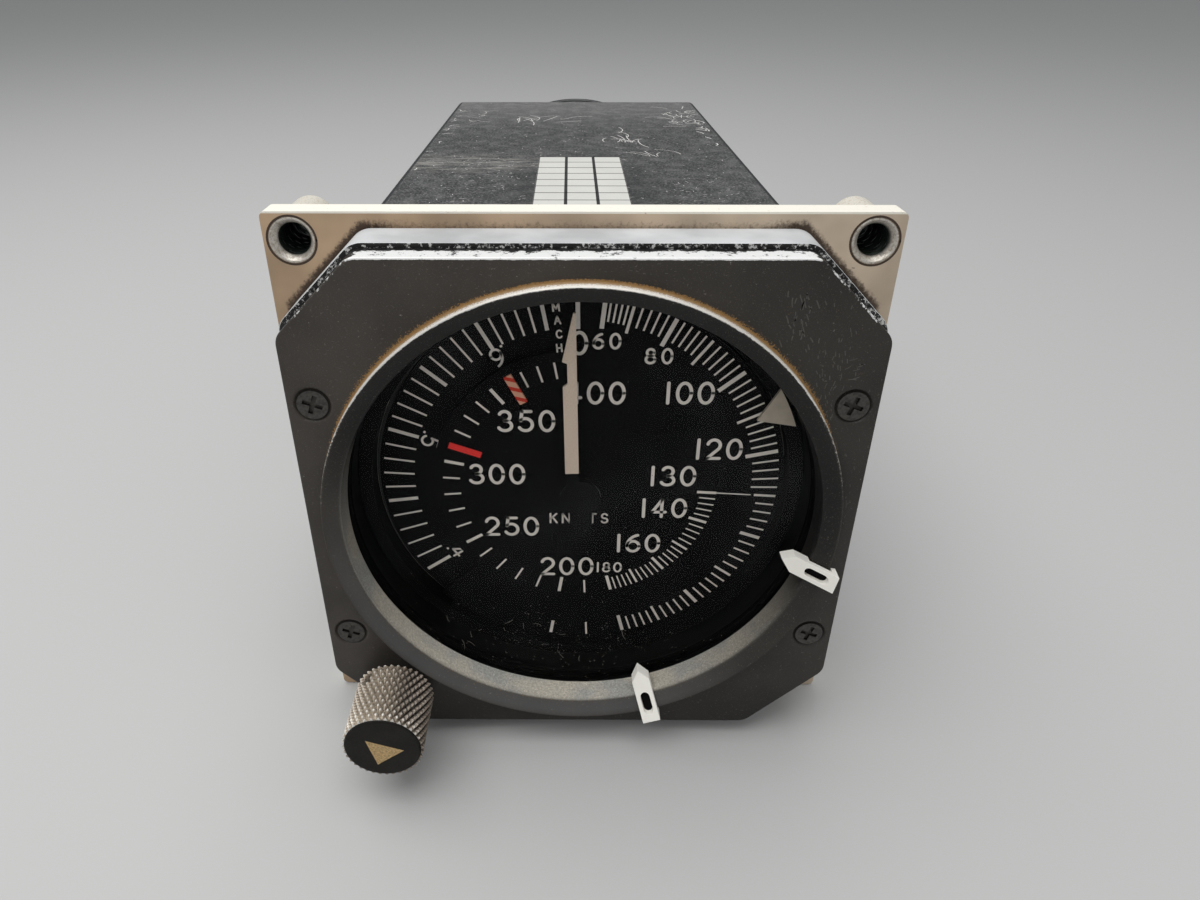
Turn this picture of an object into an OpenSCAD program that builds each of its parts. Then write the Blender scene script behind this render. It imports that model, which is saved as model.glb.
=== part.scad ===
// Mach and airspeed indicator for an aircraft panel.
// Lengths are in millimetres. The origin is the centre of the mounting flange's front face, on the dial axis.
// +X is to the right and +Z is up for someone who reads the dial. +Y runs back into the instrument.
// Dial angles are measured clockwise from the top, as the dial is read.

/* [Flange] */
// Side of the square mounting flange
flange_side = 82.55; // [82:0.05:90]
// Thickness of the mounting flange
flange_t = 3.65; // [3.4:0.05:5]
// Distance from the flange's edge to a mounting nut's axis
nut_inset = 3.725; // [3.6:0.025:4]
// Radius of the thread hole in a mounting nut
nut_bore_r = 2; // [1.6:0.1:2.4]
// Radius of the nut's sleeve in the flange
nut_sleeve_r = 3.05; // [2.8:0.05:3.1]
// Radius of the nut's body behind the flange
nut_body_r = 3.25; // [3.2:0.05:3.8]
// Length of the nut's body behind the flange
nut_body_len = 7.6; // [4:0.1:9]

/* [Bezel] */
// Distance from the raised ring to the bezel's left and right sides
bezel_side = 2.4; // [2.2:0.05:2.8]
// Distance from the raised ring to the bezel's top and bottom
bezel_top = 2.85; // [2.6:0.05:3.2]
// Distance from the flange to the bezel's front face
bezel_depth = 10.7; // [9.8:0.1:13]
// How far the frame behind the cover stands out past it on each side
frame_step = 0.65; // [0.3:0.05:0.9]
// Thickness of the front cover, without its ring
cover_t = 3.8; // [3.5:0.1:4.4]
// Cut across the two upper corners
top_cut = 10.2; // [8:0.1:12]
// Cut across the two lower corners
bottom_cut = 11.2; // [8:0.1:11.4]
// Rounding of the bezel's corners seen from the front
bezel_corner_r = 2.6; // [1:0.1:4]
// Bevel along the front edge of the cover
edge_bevel = 0.2; // [0.1:0.1:1.2]
// Thickness of the flat seal behind the bezel
bezel_seal_t = 0.5; // [0.3:0.1:0.8]
// Distance from a bezel screw's axis to the bezel's side
screw_inset = 3.35; // [3.3:0.05:3.5]
// Height of the upper bezel screws above the dial axis
screw_up = 19.2; // [19:0.1:22]
// Depth of the lower bezel screws below the dial axis
screw_down = 19.65; // [19.4:0.1:20.5]
// Radius of a bezel screw's head
screw_head_r = 2.05; // [1.8:0.05:2.3]
// Radius of a bezel screw's thread
screw_r = 1.1; // [0.9:0.05:1.2]

/* [Window] */
// Radius of the window
window_r = 33.3; // [32:0.1:34]
// Width of the raised ring around the window
ring_w = 2.5; // [2.2:0.05:2.7]
// How far the raised ring stands in front of the cover
ring_proud = 1.95; // [1.5:0.05:2]
// How far the bevel on the ring runs back
ring_bevel = 1.55; // [1.2:0.05:1.9]
// How far the glass reaches under the ring
glass_lap = 1.3; // [1.1:0.05:1.6]
// Thickness of the glass
glass_t = 2; // [1.6:0.1:2.2]
// Distance from the cover's front face back to the glass
glass_setback = 3.3; // [3:0.1:3.6]
// Thickness of the rubber ring behind the glass
glass_seal_t = 0.8; // [0.6:0.1:1]

/* [Speed bug drive] */
// Distance from the window's edge out to the bug ring's pitch circle
pitch_out = 1.8; // [1.8:0.05:2]
// Teeth on the bug ring
ring_teeth = 78; // [78:1:78]
// Teeth on the pinion
pinion_teeth = 14; // [14:1:14]
// Angle of the knob's axis on the dial
knob_angle = 223.8; // [222:0.2:226]
// Distance from the window's edge in to the bug ring's inside
bug_ring_in = 2.24; // [2.1:0.02:2.3]
// Angle of the speed bug on the dial
speed_bug_angle = 64; // [0:1:200]
// Length of the speed bug along the radius
speed_bug_len = 4.85; // [4:0.05:6]
// Distance from the window's edge in to the speed bug's base
speed_bug_in = 0.6; // [0.5:0.05:1]
// Half the angle of the speed bug's base
speed_bug_half = 5.7; // [4:0.1:8]

/* [Knob] */
// Radius of the knob over its knurl
knob_r = 5.95; // [4.6:0.05:6.2]
// Length of the knob
knob_len = 11.1; // [10:0.1:16]
// Gap between the raised ring's front and the knob
knob_gap = 0.25; // [0.2:0.05:1]
// Radius of the knob's shaft
shaft_r = 1.5; // [1.3:0.05:1.8]
// Thickness of the black disc on the knob's front
cap_t = 0.8; // [0.6:0.1:1.5]

/* [Dial] */
// Depth of the dial's face behind the flange's front
dial_y = 0.1; // [0:0.05:0.2]
// Gap between the dial's edge and the bug ring
dial_gap = 0.46; // [0.36:0.02:0.6]
// Thickness of the dial
dial_t = 0.8; // [0.6:0.05:0.9]
// Radius of the fixed dial where the Mach disc shows
dial_step_r = 22.3; // [21.6:0.1:23]
// Angle where the Mach window starts
mach_window_from = 227; // [222:1:230]
// Angle where the Mach window ends
mach_window_to = 351; // [350:1:353]
// How far the Mach disc stays inside the dial's edge
mach_disc_in = 0.2; // [0.1:0.05:0.5]
// Thickness of the Mach disc
mach_disc_t = 0.6; // [0.4:0.05:0.7]
// Length of the airspeed pointer from the axis
pointer_len = 29; // [26:0.1:29.5]
// Width of the pointer's blade, all on the left of its axis
blade_w = 1.97; // [1.6:0.01:2.2]
// Length of the limit pointer from the axis
limit_len = 21.9; // [19:0.1:22]

/* [Reference bugs] */
// Angle of the right reference bug on the ring
bug_right_angle = 101.6; // [80:0.2:110]
// Angle of the lower reference bug on the ring
bug_lower_angle = 161.8; // [150:0.2:175]
// Width of a reference bug at its shoulders
bug_w = 2.8; // [2.4:0.1:3.2]
// How far a reference bug's tip reaches in past the window's edge
bug_reach = 3.6; // [3.2:0.1:4.4]
// Thickness of a reference bug's plate
bug_t = 0.8; // [0.7:0.05:1.1]

/* [Case] */
// Side of the square case
case_side = 68; // [66.6:0.1:68]
// Distance from the flange's front face to the rear of the case
case_len = 149.6; // [140:0.5:180]
// Wall of the case
case_wall = 2; // [1.6:0.1:2.2]
// Rounding of the case's long edges
case_edge_r = 2; // [1.5:0.1:3]
// Reach of the case's front lip past its side
lip_reach = 3.6; // [3.4:0.1:3.8]
// Thickness of the case's front lip
lip_t = 2; // [1.5:0.1:3]
// Width of the sticker on the case's top
label_w = 16.4; // [12:0.2:24]
// Length of the sticker on the case's top
label_len = 45; // [30:1:60]
// Distance from the flange's front face to the sticker's far edge
label_far = 71.2; // [68:0.2:90]

/* [Rear cover] */
// Radius of the rear cover's disc
rear_disc_r = 33.5; // [32.5:0.1:33.5]
// Thickness of the rear cover's disc
rear_disc_t = 4; // [3.5:0.1:6]
// Radius of the rear cover's neck
rear_neck_r = 29.5; // [29.4:0.1:30]
// Length of the rear cover's neck
rear_neck_len = 7.7; // [5:0.1:12]
// Radius of the opening from the case into the rear cover
rear_opening_r = 24; // [23.8:0.1:24.2]
// Thickness of the seal between case and rear cover
rear_seal_t = 0.5; // [0.3:0.1:0.8]
// Radius of the pressure ports' tubes
port_r = 3.175; // [2.6:0.025:3.5]
// Length of the pressure ports' tubes
port_len = 14; // [10:0.5:20]
// Distance of a pressure port to the side of the dial axis
port_x = 10; // [9:0.1:11]
// Radius of the electrical connector's shell
plug_r = 8.5; // [7.5:0.1:9]
// Length of the electrical connector's shell
plug_len = 14; // [10:0.5:18]
// Height of the electrical connector above the dial axis
plug_z = 10; // [9:0.1:11]

/* [Movement] */
// Tooth module of the movement's gears
train_module = 0.5; // [0.5:0.002:0.504]
// Depth of the movement's front plate behind the flange's rear face
front_plate_gap = 2.35; // [2.2:0.05:3]
// Thickness of the movement's plates
plate_t = 2; // [1.5:0.1:2.5]
// Distance between the movement's plates
plate_gap = 30; // [29:0.5:36]
// Half the side of the movement's plates
plate_half = 28.4; // [27:0.1:29]
// Distance of a pillar from the dial axis, along X and along Z
pillar_at = 24.5; // [24:0.1:24.6]
// Radius of a pillar
pillar_r = 2; // [1.8:0.1:2.2]
// Radius of the pointer's staff
staff_r = 0.6; // [0.5:0.02:0.62]
// Radius of the sectors' arbors
arbor_r = 0.8; // [0.6:0.05:1]
// Length of the arms that feel the capsules
arm_len = 5; // [4.6:0.1:5.2]
// Distance from the rear plate to the arms and capsules
capsule_back = 18; // [16:0.5:30]
// Radius of the capsules
capsule_r = 13; // [11:0.1:13.4]
// Running clearance of shafts in their holes
run = 0.05; // [0.02:0.01:0.08]

/* [Hidden] */
$fn = 96;

// Radii and sides that follow the window
ring_r = window_r + ring_w;
glass_r = window_r + glass_lap;
bug_tip_r = window_r - bug_reach;
bug_ring_r = window_r - bug_ring_in;
speed_bug_base_r = window_r - speed_bug_in;
speed_bug_tip_r = speed_bug_base_r - speed_bug_len;
dial_r = bug_ring_r - dial_gap;
mach_disc_r = dial_r - mach_disc_in;
bezel_w = 2 * (ring_r + bezel_side);
bezel_h = 2 * (ring_r + bezel_top);
screw_x = bezel_w / 2 - screw_inset;

// Bezel planes, from the flange forward
face_y = -bezel_depth;
ring_y = face_y - ring_proud;
frame_y = face_y + cover_t;
glass_y = face_y + glass_setback;
glass_back = glass_y + glass_t;
glass_play = 0.2;
seal_back = glass_back + glass_seal_t;
throat_r = window_r + 0.1;
nut_at = flange_side / 2 - nut_inset;
bezel_screws_at = [for (side = [-1, 1]) each [[side * screw_x, screw_up], [side * screw_x, -screw_down]]];
screw_bite = 2.8;
screw_play = 0.1;

// Speed bug drive in the flange's pocket
ring_pitch_r = window_r + pitch_out;
drive_module = 2 * ring_pitch_r / ring_teeth;
pinion_pitch_r = pinion_teeth * drive_module / 2;
ring_tip_r = ring_pitch_r + drive_module;
pinion_tip_r = pinion_pitch_r + drive_module;
knob_at = polar(ring_pitch_r + pinion_pitch_r, knob_angle);
pocket_play = 0.4;
pocket_r = ring_tip_r + pocket_play;
pinion_pocket_r = pinion_tip_r + pocket_play;
pocket_floor = 1;
pocket_y = flange_t - pocket_floor;
rail_r = bug_ring_r - 0.06;
rail_w = 2;
rail_h = 0.65;
rail_y = pocket_y - rail_h;
opening_r = rail_r - rail_w;
gear_gap = 0.3;
gear_t = 1.2;
bug_ring_back = pocket_y - 0.15;
bug_ring_front = -1.2;
bug_ring_rim_r = window_r - 0.3;
bug_ring_hub_r = bug_ring_r + 1.3;
speed_bug_t = 0.5;
pivot_r = 1;

// Knob
knob_back = ring_y - knob_gap;
knob_front = knob_back - knob_len;
knob_flutes = 44;
flute_depth = 0.22;
knob_end_r = knob_r - flute_depth - 0.15;
knob_end_bevel = 0.5;
knob_body_y = knob_front + cap_t;
cap_r = knob_end_r;
cap_bevel = 0.2;
set_screw_r = 0.9;
set_screw_y = knob_back - 1.8;
set_screw_turn = -40;
bush_r = 3;

// Dial, discs and pointers
dial_back = dial_y + dial_t;
mach_y = dial_back + 0.3;
mach_back = mach_y + mach_disc_t;
front_plate_y = flange_t + front_plate_gap;
front_plate_back = front_plate_y + plate_t;
rear_plate_y = front_plate_back + plate_gap;
rear_plate_back = rear_plate_y + plate_t;
tube_in_r = staff_r + run;
tube_r = tube_in_r + 0.45;
bush_in_r = tube_r + run;
dial_bush_r = bush_in_r + 1.25;
mach_hub_in_r = dial_bush_r + run;
mach_hub_r = mach_hub_in_r + 1.3;
limit_t = 0.3;
limit_y = -2.2;
limit_hub_r = 2;
limit_tip_half = 0.6;
limit_tip_from = 17.15;
limit_arm_half = 0.4;
limit_turn = -28;
pointer_t = 0.4;
pointer_y = -3.4;
pointer_hub_r = 3;
blade_gap = 0.18;
tail_half = 1.75;
pointer_turn = -1.4;
pointer_tail = 8;

// Gears of the movement: the gear on the axis and the sector that drives it
hand_teeth = 10;
hand_sector_teeth = 80;
mach_teeth = 20;
mach_sector_teeth = 68;
limit_teeth = 22;
limit_sector_teeth = 66;
hand_distance = (hand_teeth + hand_sector_teeth) * train_module / 2;
side_distance = (mach_teeth + mach_sector_teeth) * train_module / 2;
airspeed_at = [0, -hand_distance];
altitude_at = [-side_distance, 0];
hand_gear_y = rear_plate_y - 10;
hand_gear_t = 3;
limit_gear_y = front_plate_back + 3;
limit_gear_t = 2;
mach_gear_y = flange_t + 0.25;
mach_gear_t = 1;
sector_t = 1;
collet_r = 1.6;
collet_y = hand_gear_y - 4.2;
collet_t = 1.2;
spring_turns = 5;
spring_gap = 0.3;
spring_pitch = 1.05;
spring_wire = 0.3;
spring_t = 0.6;
stud_r = 0.8;
spring_end_r = collet_r + spring_gap + spring_turns * spring_pitch;
bearing_r = 2;

// Capsules and their arms
capsule_y = rear_plate_back + capsule_back;
capsule_half = 4;
arm_t = 2;
arm_pin_r = 0.8;
arm_half = 0.45;
arm_hub_r = 2;
feel_gap = 0.3;
airspeed_arm_angle = 21.5;
altitude_arm_angle = 69.4;
airspeed_tip = airspeed_at + polar(arm_len, airspeed_arm_angle);
altitude_tip = altitude_at + polar(arm_len, altitude_arm_angle);
post_r = 1;
post_depth = 5;
post_show = 6.6;
airspeed_post_end = airspeed_tip[0] + arm_pin_r + feel_gap;
altitude_post_end = altitude_tip[1] + arm_pin_r + feel_gap;
airspeed_capsule_x = airspeed_post_end + post_show;
altitude_capsule_z = altitude_post_end + post_show;
stem_r = 2.2;
stem_len = 6.5;
bracket_gap = 2.5;
bracket_t = 2;
bracket_half = 9.5;
bracket_foot = 9;
bracket_len = capsule_back + 14;
bracket_screw_r = 1;

// Case, rear cover and what is on it
case_half = case_side / 2;
inner_half = case_half - case_wall;
lip_half = case_half + lip_reach;
case_screw_in = 1.5;
case_screw_across = 16;
case_screw_out = lip_half - case_screw_in;
case_screws_at = [for (s = [-1, 1], t = [-1, 1]) each [[s * case_screw_across, t * case_screw_out],
                                                       [t * case_screw_out, s * case_screw_across]]];
case_screw_r = 1;
case_seal_t = 0.4;
lip_y = flange_t + case_seal_t;
label_t = 0.15;
rear_y = case_len + rear_seal_t;
disc_y = rear_y + rear_neck_len;
back_y = disc_y + rear_disc_t;
rear_wall_t = 3;
rear_screw_at = (rear_opening_r + rear_neck_r) / 2;
rear_screw_r = 1.4;
boss_r = 2.5;
boss_len = 5;
port_z = airspeed_tip[1];
port_bore_r = 2;
hex_r = 7.5;
hex_t = 5;
spigot_r = 2.5;
spigot_len = 4;
line_r = 1.5;
line_bend = 4;
line_x = airspeed_capsule_x + 2 * capsule_half + stem_len + line_bend;
plug_flange = 24;
plug_flange_t = 2;
plug_wall = 1;
plug_floor = 3;
pin_r = 0.6;

// Shared helpers

function polar(r, a) = [r * sin(a), r * cos(a)];
function unit(v) = v / norm(v);

// Points of an arc of radius r that rounds corner b between its neighbours a and c
function fillet(a, b, c, r, n) =
    let (u = unit(a - b), v = unit(c - b), half = acos(u * v) / 2)
    let (q = b + unit(u + v) * r / sin(half))
    let (s = b + u * r / tan(half) - q, e = b + v * r / tan(half) - q)
    let (from = atan2(s[1], s[0]), turn = (atan2(e[1], e[0]) - from + 540) % 360 - 180)
    [for (i = [0:n]) q + r * [cos(from + turn * i / n), sin(from + turn * i / n)]];

function rounded(p, r, n = 6) =
    [for (i = [0:len(p) - 1]) each fillet(p[(i + len(p) - 1) % len(p)], p[i], p[(i + 1) % len(p)], r, n)];

function reversed(p) = [for (i = [len(p) - 1:-1:0]) p[i]];

function box_points(w, h) = [[-w, -h] / 2, [w, -h] / 2, [w, h] / 2, [-w, h] / 2];

// One straight-sided tooth at angle a
function tooth(pitch_r, m, a, step) =
    [polar(pitch_r - 1.25 * m, a - 0.3 * step), polar(pitch_r + m, a - 0.12 * step),
     polar(pitch_r + m, a + 0.12 * step), polar(pitch_r - 1.25 * m, a + 0.3 * step)];

function gear_points(teeth, m, phase) =
    reversed([for (i = [0:teeth - 1]) each tooth(teeth * m / 2, m, phase + i * 360 / teeth, 360 / teeth)]);

// Teeth numbered first to last of a gear whose tooth 0 points at angle a
function sector_points(teeth, m, a, first, last, hub_r) =
    reversed(concat([for (i = [first:last]) each tooth(teeth * m / 2, m, a + i * 360 / teeth, 360 / teeth)],
                    [polar(hub_r, a + last * 360 / teeth), polar(hub_r, a + first * 360 / teeth)]));

// Octagon of the bezel, moved in by inset
function bezel_points(inset) =
    let (w = bezel_w / 2 - inset, h = bezel_h / 2 - inset)
    let (t = top_cut - inset * (2 - sqrt(2)), b = bottom_cut - inset * (2 - sqrt(2)))
    rounded([[-w + t, h], [w - t, h], [w, h - t], [w, -h + b],
             [w - b, -h], [-w + b, -h], [-w, -h + b], [-w, h - t]], bezel_corner_r - inset);

// Extrudes a front-view outline (x, z) from depth y0 back to depth y1
module slab(y0, y1) {
    translate([0, y1, 0]) rotate([90, 0, 0]) linear_extrude(y1 - y0) children();
}

// Rod along Y through the front-view point p
module rod(p, r, y0, y1) {
    translate([p[0], y1, p[1]]) rotate([90, 0, 0]) cylinder(r = r, h = y1 - y0);
}

// Cone along Y through p, with radius r0 at y0 and r1 at y1
module taper(p, r0, r1, y0, y1) {
    translate([p[0], y1, p[1]]) rotate([90, 0, 0]) cylinder(r1 = r1, r2 = r0, h = y1 - y0);
}

// Turns a profile of [radius, depth] points about the dial axis
module turned(profile) {
    rotate([90, 0, 0]) rotate_extrude() polygon([for (p = profile) [p[0], -p[1]]]);
}

module four_corners(at) {
    for (x = [-at, at], z = [-at, at]) translate([x, 0, z]) children();
}

// Countersunk screw with a cross recess, head flush at y0
module flat_screw(p, head_r, r, y0, y1) {
    head_t = head_r - r;
    difference() {
        union() {
            taper(p, head_r, r, y0, y0 + head_t);
            rod(p, r, y0 + head_t, y1);
        }
        for (a = [0, 90])
            translate([p[0], y0, p[1]]) rotate([0, a + 20, 0])
                cube([head_r * 1.3, head_r * 0.9, head_r * 0.3], center = true);
    }
}

// Flange and mounting

module mounting_flange() {
    color("bisque") difference() {
        slab(0, flange_t) polygon(rounded(box_points(flange_side, flange_side), 0.8, 4));
        difference() {
            rod([0, 0], pocket_r, -1, pocket_y);
            turned([[opening_r, rail_y], [rail_r, rail_y], [rail_r, pocket_y + 1],
                    [opening_r, pocket_y + 1]]);
        }
        rod([0, 0], opening_r, -1, flange_t + 1);
        difference() {
            rod(knob_at, pinion_pocket_r, -1, pocket_y);
            rod([0, 0], pocket_r - 1, -2, flange_t);
        }
        rod(knob_at, pivot_r + run, 0, flange_t + 1);
        for (x = [-nut_at, nut_at], z = [-nut_at, nut_at]) rod([x, z], nut_sleeve_r, -1, flange_t + 1);
        for (p = bezel_screws_at) rod(p, screw_r, -1, screw_bite);
        for (p = case_screws_at) rod(p, case_screw_r, flange_t - 2.2, flange_t + 1);
    }
}

module mounting_nuts() {
    color("lightsteelblue") four_corners(nut_at) difference() {
        turned([[0, 0], [nut_sleeve_r, 0], [nut_sleeve_r, flange_t], [nut_body_r, flange_t],
                [nut_body_r, flange_t + nut_body_len - 0.8], [nut_body_r - 0.8, flange_t + nut_body_len],
                [0, flange_t + nut_body_len]]);
        rod([0, 0], nut_bore_r, -1, flange_t + nut_body_len + 1);
    }
}

// Bezel and window

module bezel_frame() {
    color("gainsboro") difference() {
        slab(frame_y, -bezel_seal_t) polygon(bezel_points(-frame_step));
        turned([[0, frame_y - 1], [glass_r + glass_play, frame_y - 1], [glass_r + glass_play, seal_back],
                [throat_r, seal_back], [throat_r, 0], [0, 0]]);
        for (p = bezel_screws_at) rod(p, screw_r + screw_play, frame_y - 1, 0);
        rod(knob_at, bush_r, frame_y - 1, 0);
    }
}

module bezel_cover() {
    color("dimgray") difference() {
        union() {
            slab(face_y + edge_bevel, frame_y) polygon(bezel_points(0));
            hull() {
                slab(face_y, face_y + 0.01) polygon(bezel_points(edge_bevel));
                slab(face_y + edge_bevel - 0.01, face_y + edge_bevel) polygon(bezel_points(0));
            }
            turned([[window_r - 0.5, face_y + 1], [ring_r, face_y + 1], [ring_r, ring_y],
                    [window_r, ring_y + ring_bevel], [window_r - 0.5, ring_y + ring_bevel]]);
        }
        rod([0, 0], window_r, ring_y - 1, frame_y + 1);
        rod([0, 0], glass_r + glass_play, glass_y, frame_y + 1);
        for (p = bezel_screws_at) {
            rod(p, screw_r + screw_play, face_y - 1, frame_y + 1);
            taper(p, screw_head_r + screw_play, screw_r + screw_play,
                  face_y, face_y + screw_head_r - screw_r);
        }
        rod(knob_at, bush_r, face_y - 1, frame_y + 1);
    }
}

module bezel_seal() {
    color("black") slab(-bezel_seal_t, 0) difference() {
        polygon(bezel_points(0.4));
        circle(pocket_r);
        translate(knob_at) circle(pinion_pocket_r);
        for (p = bezel_screws_at) translate(p) circle(screw_r + screw_play);
    }
}

module bezel_screws() {
    color("darkslategray")
        for (p = bezel_screws_at) flat_screw(p, screw_head_r, screw_r, face_y, screw_bite);
}

module window_glass() {
    color("lightcyan", 0.35)
        turned([[0, glass_y], [glass_r, glass_y], [glass_r, glass_back], [0, glass_back]]);
}

module glass_seal() {
    color("black")
        turned([[throat_r, glass_back], [glass_r, glass_back], [glass_r, seal_back], [throat_r, seal_back]]);
}

// Reference bug: a slotted plate along the ring's bevel, with a lip on each side of the ring
module reference_bug(angle) {
    slope = ring_bevel / ring_w;
    lift = bug_t / cos(atan(slope));
    gap = 0.2;
    lip = 0.9;
    hook_t = 0.7;
    tail_r = ring_r + gap + hook_t;
    leg_r = window_r - gap;
    under = function (r) ring_y - gap + (ring_r - r) * slope;
    side = [[bug_tip_r, under(bug_tip_r) + lip], [leg_r, under(leg_r) + lip], [leg_r, under(leg_r)],
            [ring_r + gap, under(ring_r + gap)], [ring_r + gap, under(ring_r + gap) + lip],
            [tail_r, under(ring_r + gap) + lip], [tail_r, under(tail_r) - lift],
            [bug_tip_r, under(bug_tip_r) - lift]];
    shoulder_r = bug_tip_r + 0.5 * bug_w;
    plan = [[0, bug_tip_r], [bug_w / 2, shoulder_r], [bug_w / 2, tail_r], [-bug_w / 2, tail_r],
            [-bug_w / 2, shoulder_r]];
    slot_half = bug_w / 2 - 0.67;
    slot_from = window_r - 0.6;
    slot_to = ring_r - 0.1;
    rotate([0, angle, 0]) difference() {
        intersection() {
            translate([-bug_w, 0, 0]) rotate([90, 0, 90]) linear_extrude(2 * bug_w)
                polygon([for (p = side) [p[1], p[0]]]);
            slab(ring_y - 5, glass_y) polygon(plan);
        }
        slab(ring_y - 5, glass_y + 1)
            polygon(rounded([[-slot_half, slot_from], [slot_half, slot_from],
                             [slot_half, slot_to], [-slot_half, slot_to]], slot_half - 0.03, 6));
    }
}

module reference_bug_right() {
    color("ivory") reference_bug(bug_right_angle);
}

module reference_bug_lower() {
    color("ivory") reference_bug(bug_lower_angle);
}

// Knob and its shaft

module knob() {
    color("gray") difference() {
        union() {
            slab(knob_body_y + knob_end_bevel, knob_back - knob_end_bevel) translate(knob_at)
                polygon([for (i = [0:2 * knob_flutes - 1])
                    polar(knob_r - flute_depth * (i % 2), i * 180 / knob_flutes)]);
            taper(knob_at, knob_end_r - knob_end_bevel, knob_end_r,
                  knob_body_y, knob_body_y + knob_end_bevel);
            taper(knob_at, knob_end_r, knob_end_r - knob_end_bevel, knob_back - knob_end_bevel, knob_back);
        }
        rod(knob_at, shaft_r, knob_front + 2, knob_back + 1);
        set_screw_hole(shaft_r - 0.2, knob_r + 1);
    }
}

// Radial hole or screw in the knob, from radius r0 to radius r1
module set_screw_hole(r0, r1) {
    translate([knob_at[0], set_screw_y, knob_at[1]]) rotate([0, set_screw_turn, 0])
        translate([0, 0, r0]) cylinder(r = set_screw_r, h = r1 - r0);
}

module knob_cap() {
    color("black") translate([knob_at[0], 0, knob_at[1]])
        turned([[0, knob_front], [cap_r - cap_bevel, knob_front], [cap_r, knob_front + cap_bevel],
                [cap_r, knob_body_y], [0, knob_body_y]]);
}

module knob_set_screw() {
    color("darkslategray") difference() {
        set_screw_hole(shaft_r, knob_r - 1.4);
        rod(knob_at, shaft_r, knob_front, knob_back);
    }
}

module knob_shaft() {
    color("silver") {
        rod(knob_at, shaft_r, knob_front + 2, pocket_y - 0.1);
        rod(knob_at, pivot_r, pocket_y - 0.1, flange_t);
    }
}

module knob_pinion() {
    color("goldenrod") slab(gear_gap, gear_gap + gear_t + 0.6) translate(knob_at) difference() {
        polygon(gear_points(pinion_teeth, drive_module, knob_angle + 180 + 180 / pinion_teeth));
        circle(shaft_r);
    }
}

module shaft_bush() {
    color("goldenrod") difference() {
        rod(knob_at, bush_r, face_y, -bezel_seal_t);
        rod(knob_at, shaft_r + run, face_y - 1, 0);
    }
}

module shaft_seal() {
    color("black") difference() {
        rod(knob_at, bush_r - 0.4, face_y - knob_gap * 0.6, face_y);
        rod(knob_at, shaft_r + run, face_y - knob_gap, face_y + 1);
    }
}

module speed_bug_ring() {
    color("black") difference() {
        union() {
            slab(gear_gap, gear_gap + gear_t) polygon(gear_points(ring_teeth, drive_module, knob_angle));
            rod([0, 0], bug_ring_hub_r, gear_gap, bug_ring_back);
            rod([0, 0], bug_ring_rim_r, bug_ring_front, gear_gap);
        }
        rod([0, 0], bug_ring_r, bug_ring_front - 1, flange_t);
    }
}

module speed_bug() {
    color("wheat") slab(bug_ring_front - speed_bug_t, bug_ring_front)
        polygon(concat([polar(speed_bug_tip_r, speed_bug_angle)],
                       [for (i = [-4:4]) polar(speed_bug_base_r, speed_bug_angle + speed_bug_half * i / 4)]));
}

// Dial, Mach disc and pointers

module dial_plate() {
    span = mach_window_to - mach_window_from;
    color("black") difference() {
        slab(dial_y, dial_back) difference() {
            circle(dial_r);
            circle(dial_bush_r);
            difference() {
                polygon(concat([[0, 0]],
                               [for (i = [0:8]) polar(dial_r * 1.3, mach_window_from + span * i / 8)]));
                circle(dial_step_r);
            }
        }
    }
}

module dial_bush() {
    color("goldenrod") difference() {
        rod([0, 0], dial_bush_r, dial_y, front_plate_back);
        rod([0, 0], bush_in_r, dial_y - 1, front_plate_back + 1);
    }
}

module mach_disc() {
    color("black") slab(mach_y, mach_back) difference() {
        circle(mach_disc_r);
        circle(mach_hub_r);
    }
}

module mach_gear() {
    color("goldenrod") difference() {
        union() {
            rod([0, 0], mach_hub_r, mach_y, mach_gear_y);
            slab(mach_gear_y, mach_gear_y + mach_gear_t)
                polygon(gear_points(mach_teeth, train_module, 270 + 180 / mach_teeth));
        }
        rod([0, 0], mach_hub_in_r, mach_y - 1, front_plate_y);
    }
}

module limit_pointer() {
    color("tomato") slab(limit_y, limit_y + limit_t) rotate(-limit_turn) difference() {
        union() {
            circle(limit_hub_r);
            translate([-limit_arm_half, 0]) square([2 * limit_arm_half, limit_tip_from + 1]);
            translate([-limit_tip_half, limit_tip_from])
                square([2 * limit_tip_half, limit_len - limit_tip_from]);
        }
        circle(tube_r);
    }
}

module limit_tube() {
    color("goldenrod") difference() {
        union() {
            rod([0, 0], tube_r, limit_y, limit_gear_y);
            slab(limit_gear_y, limit_gear_y + limit_gear_t)
                polygon(gear_points(limit_teeth, train_module, 270 + 180 / limit_teeth));
        }
        rod([0, 0], tube_in_r, limit_y - 1, limit_gear_y + limit_gear_t + 1);
    }
}

module airspeed_pointer() {
    barb_z = pointer_len - 6.9;
    neck_z = barb_z - 0.3;
    blade_z = neck_z - 3;
    neck_w = blade_w * 0.66;
    tip_w = 0.34;
    blade = [[-blade_gap, 0], [-blade_gap, pointer_len], [-blade_gap - tip_w, pointer_len],
             [-blade_gap - blade_w, barb_z], [-blade_gap - neck_w, neck_z], [-blade_gap - neck_w, blade_z],
             [-blade_gap - blade_w, blade_z - 0.5], [-blade_gap - blade_w, 0]];
    tail = [[tail_half, 0], [-tail_half, 0],
            [-tail_half * 0.9, -pointer_tail], [tail_half * 0.9, -pointer_tail]];
    color("antiquewhite") slab(pointer_y, pointer_y + pointer_t) rotate(-pointer_turn) difference() {
        union() {
            polygon(blade);
            polygon(tail);
            circle(pointer_hub_r);
        }
        circle(staff_r);
    }
}

// Movement behind the dial

module hand_staff() {
    color("silver") {
        rod([0, 0], staff_r, pointer_y, rear_plate_back);
        rod([0, 0], collet_r, collet_y, collet_y + collet_t);
        slab(hand_gear_y, hand_gear_y + hand_gear_t)
            polygon(gear_points(hand_teeth, train_module, 180 + 180 / hand_teeth));
    }
}

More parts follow.
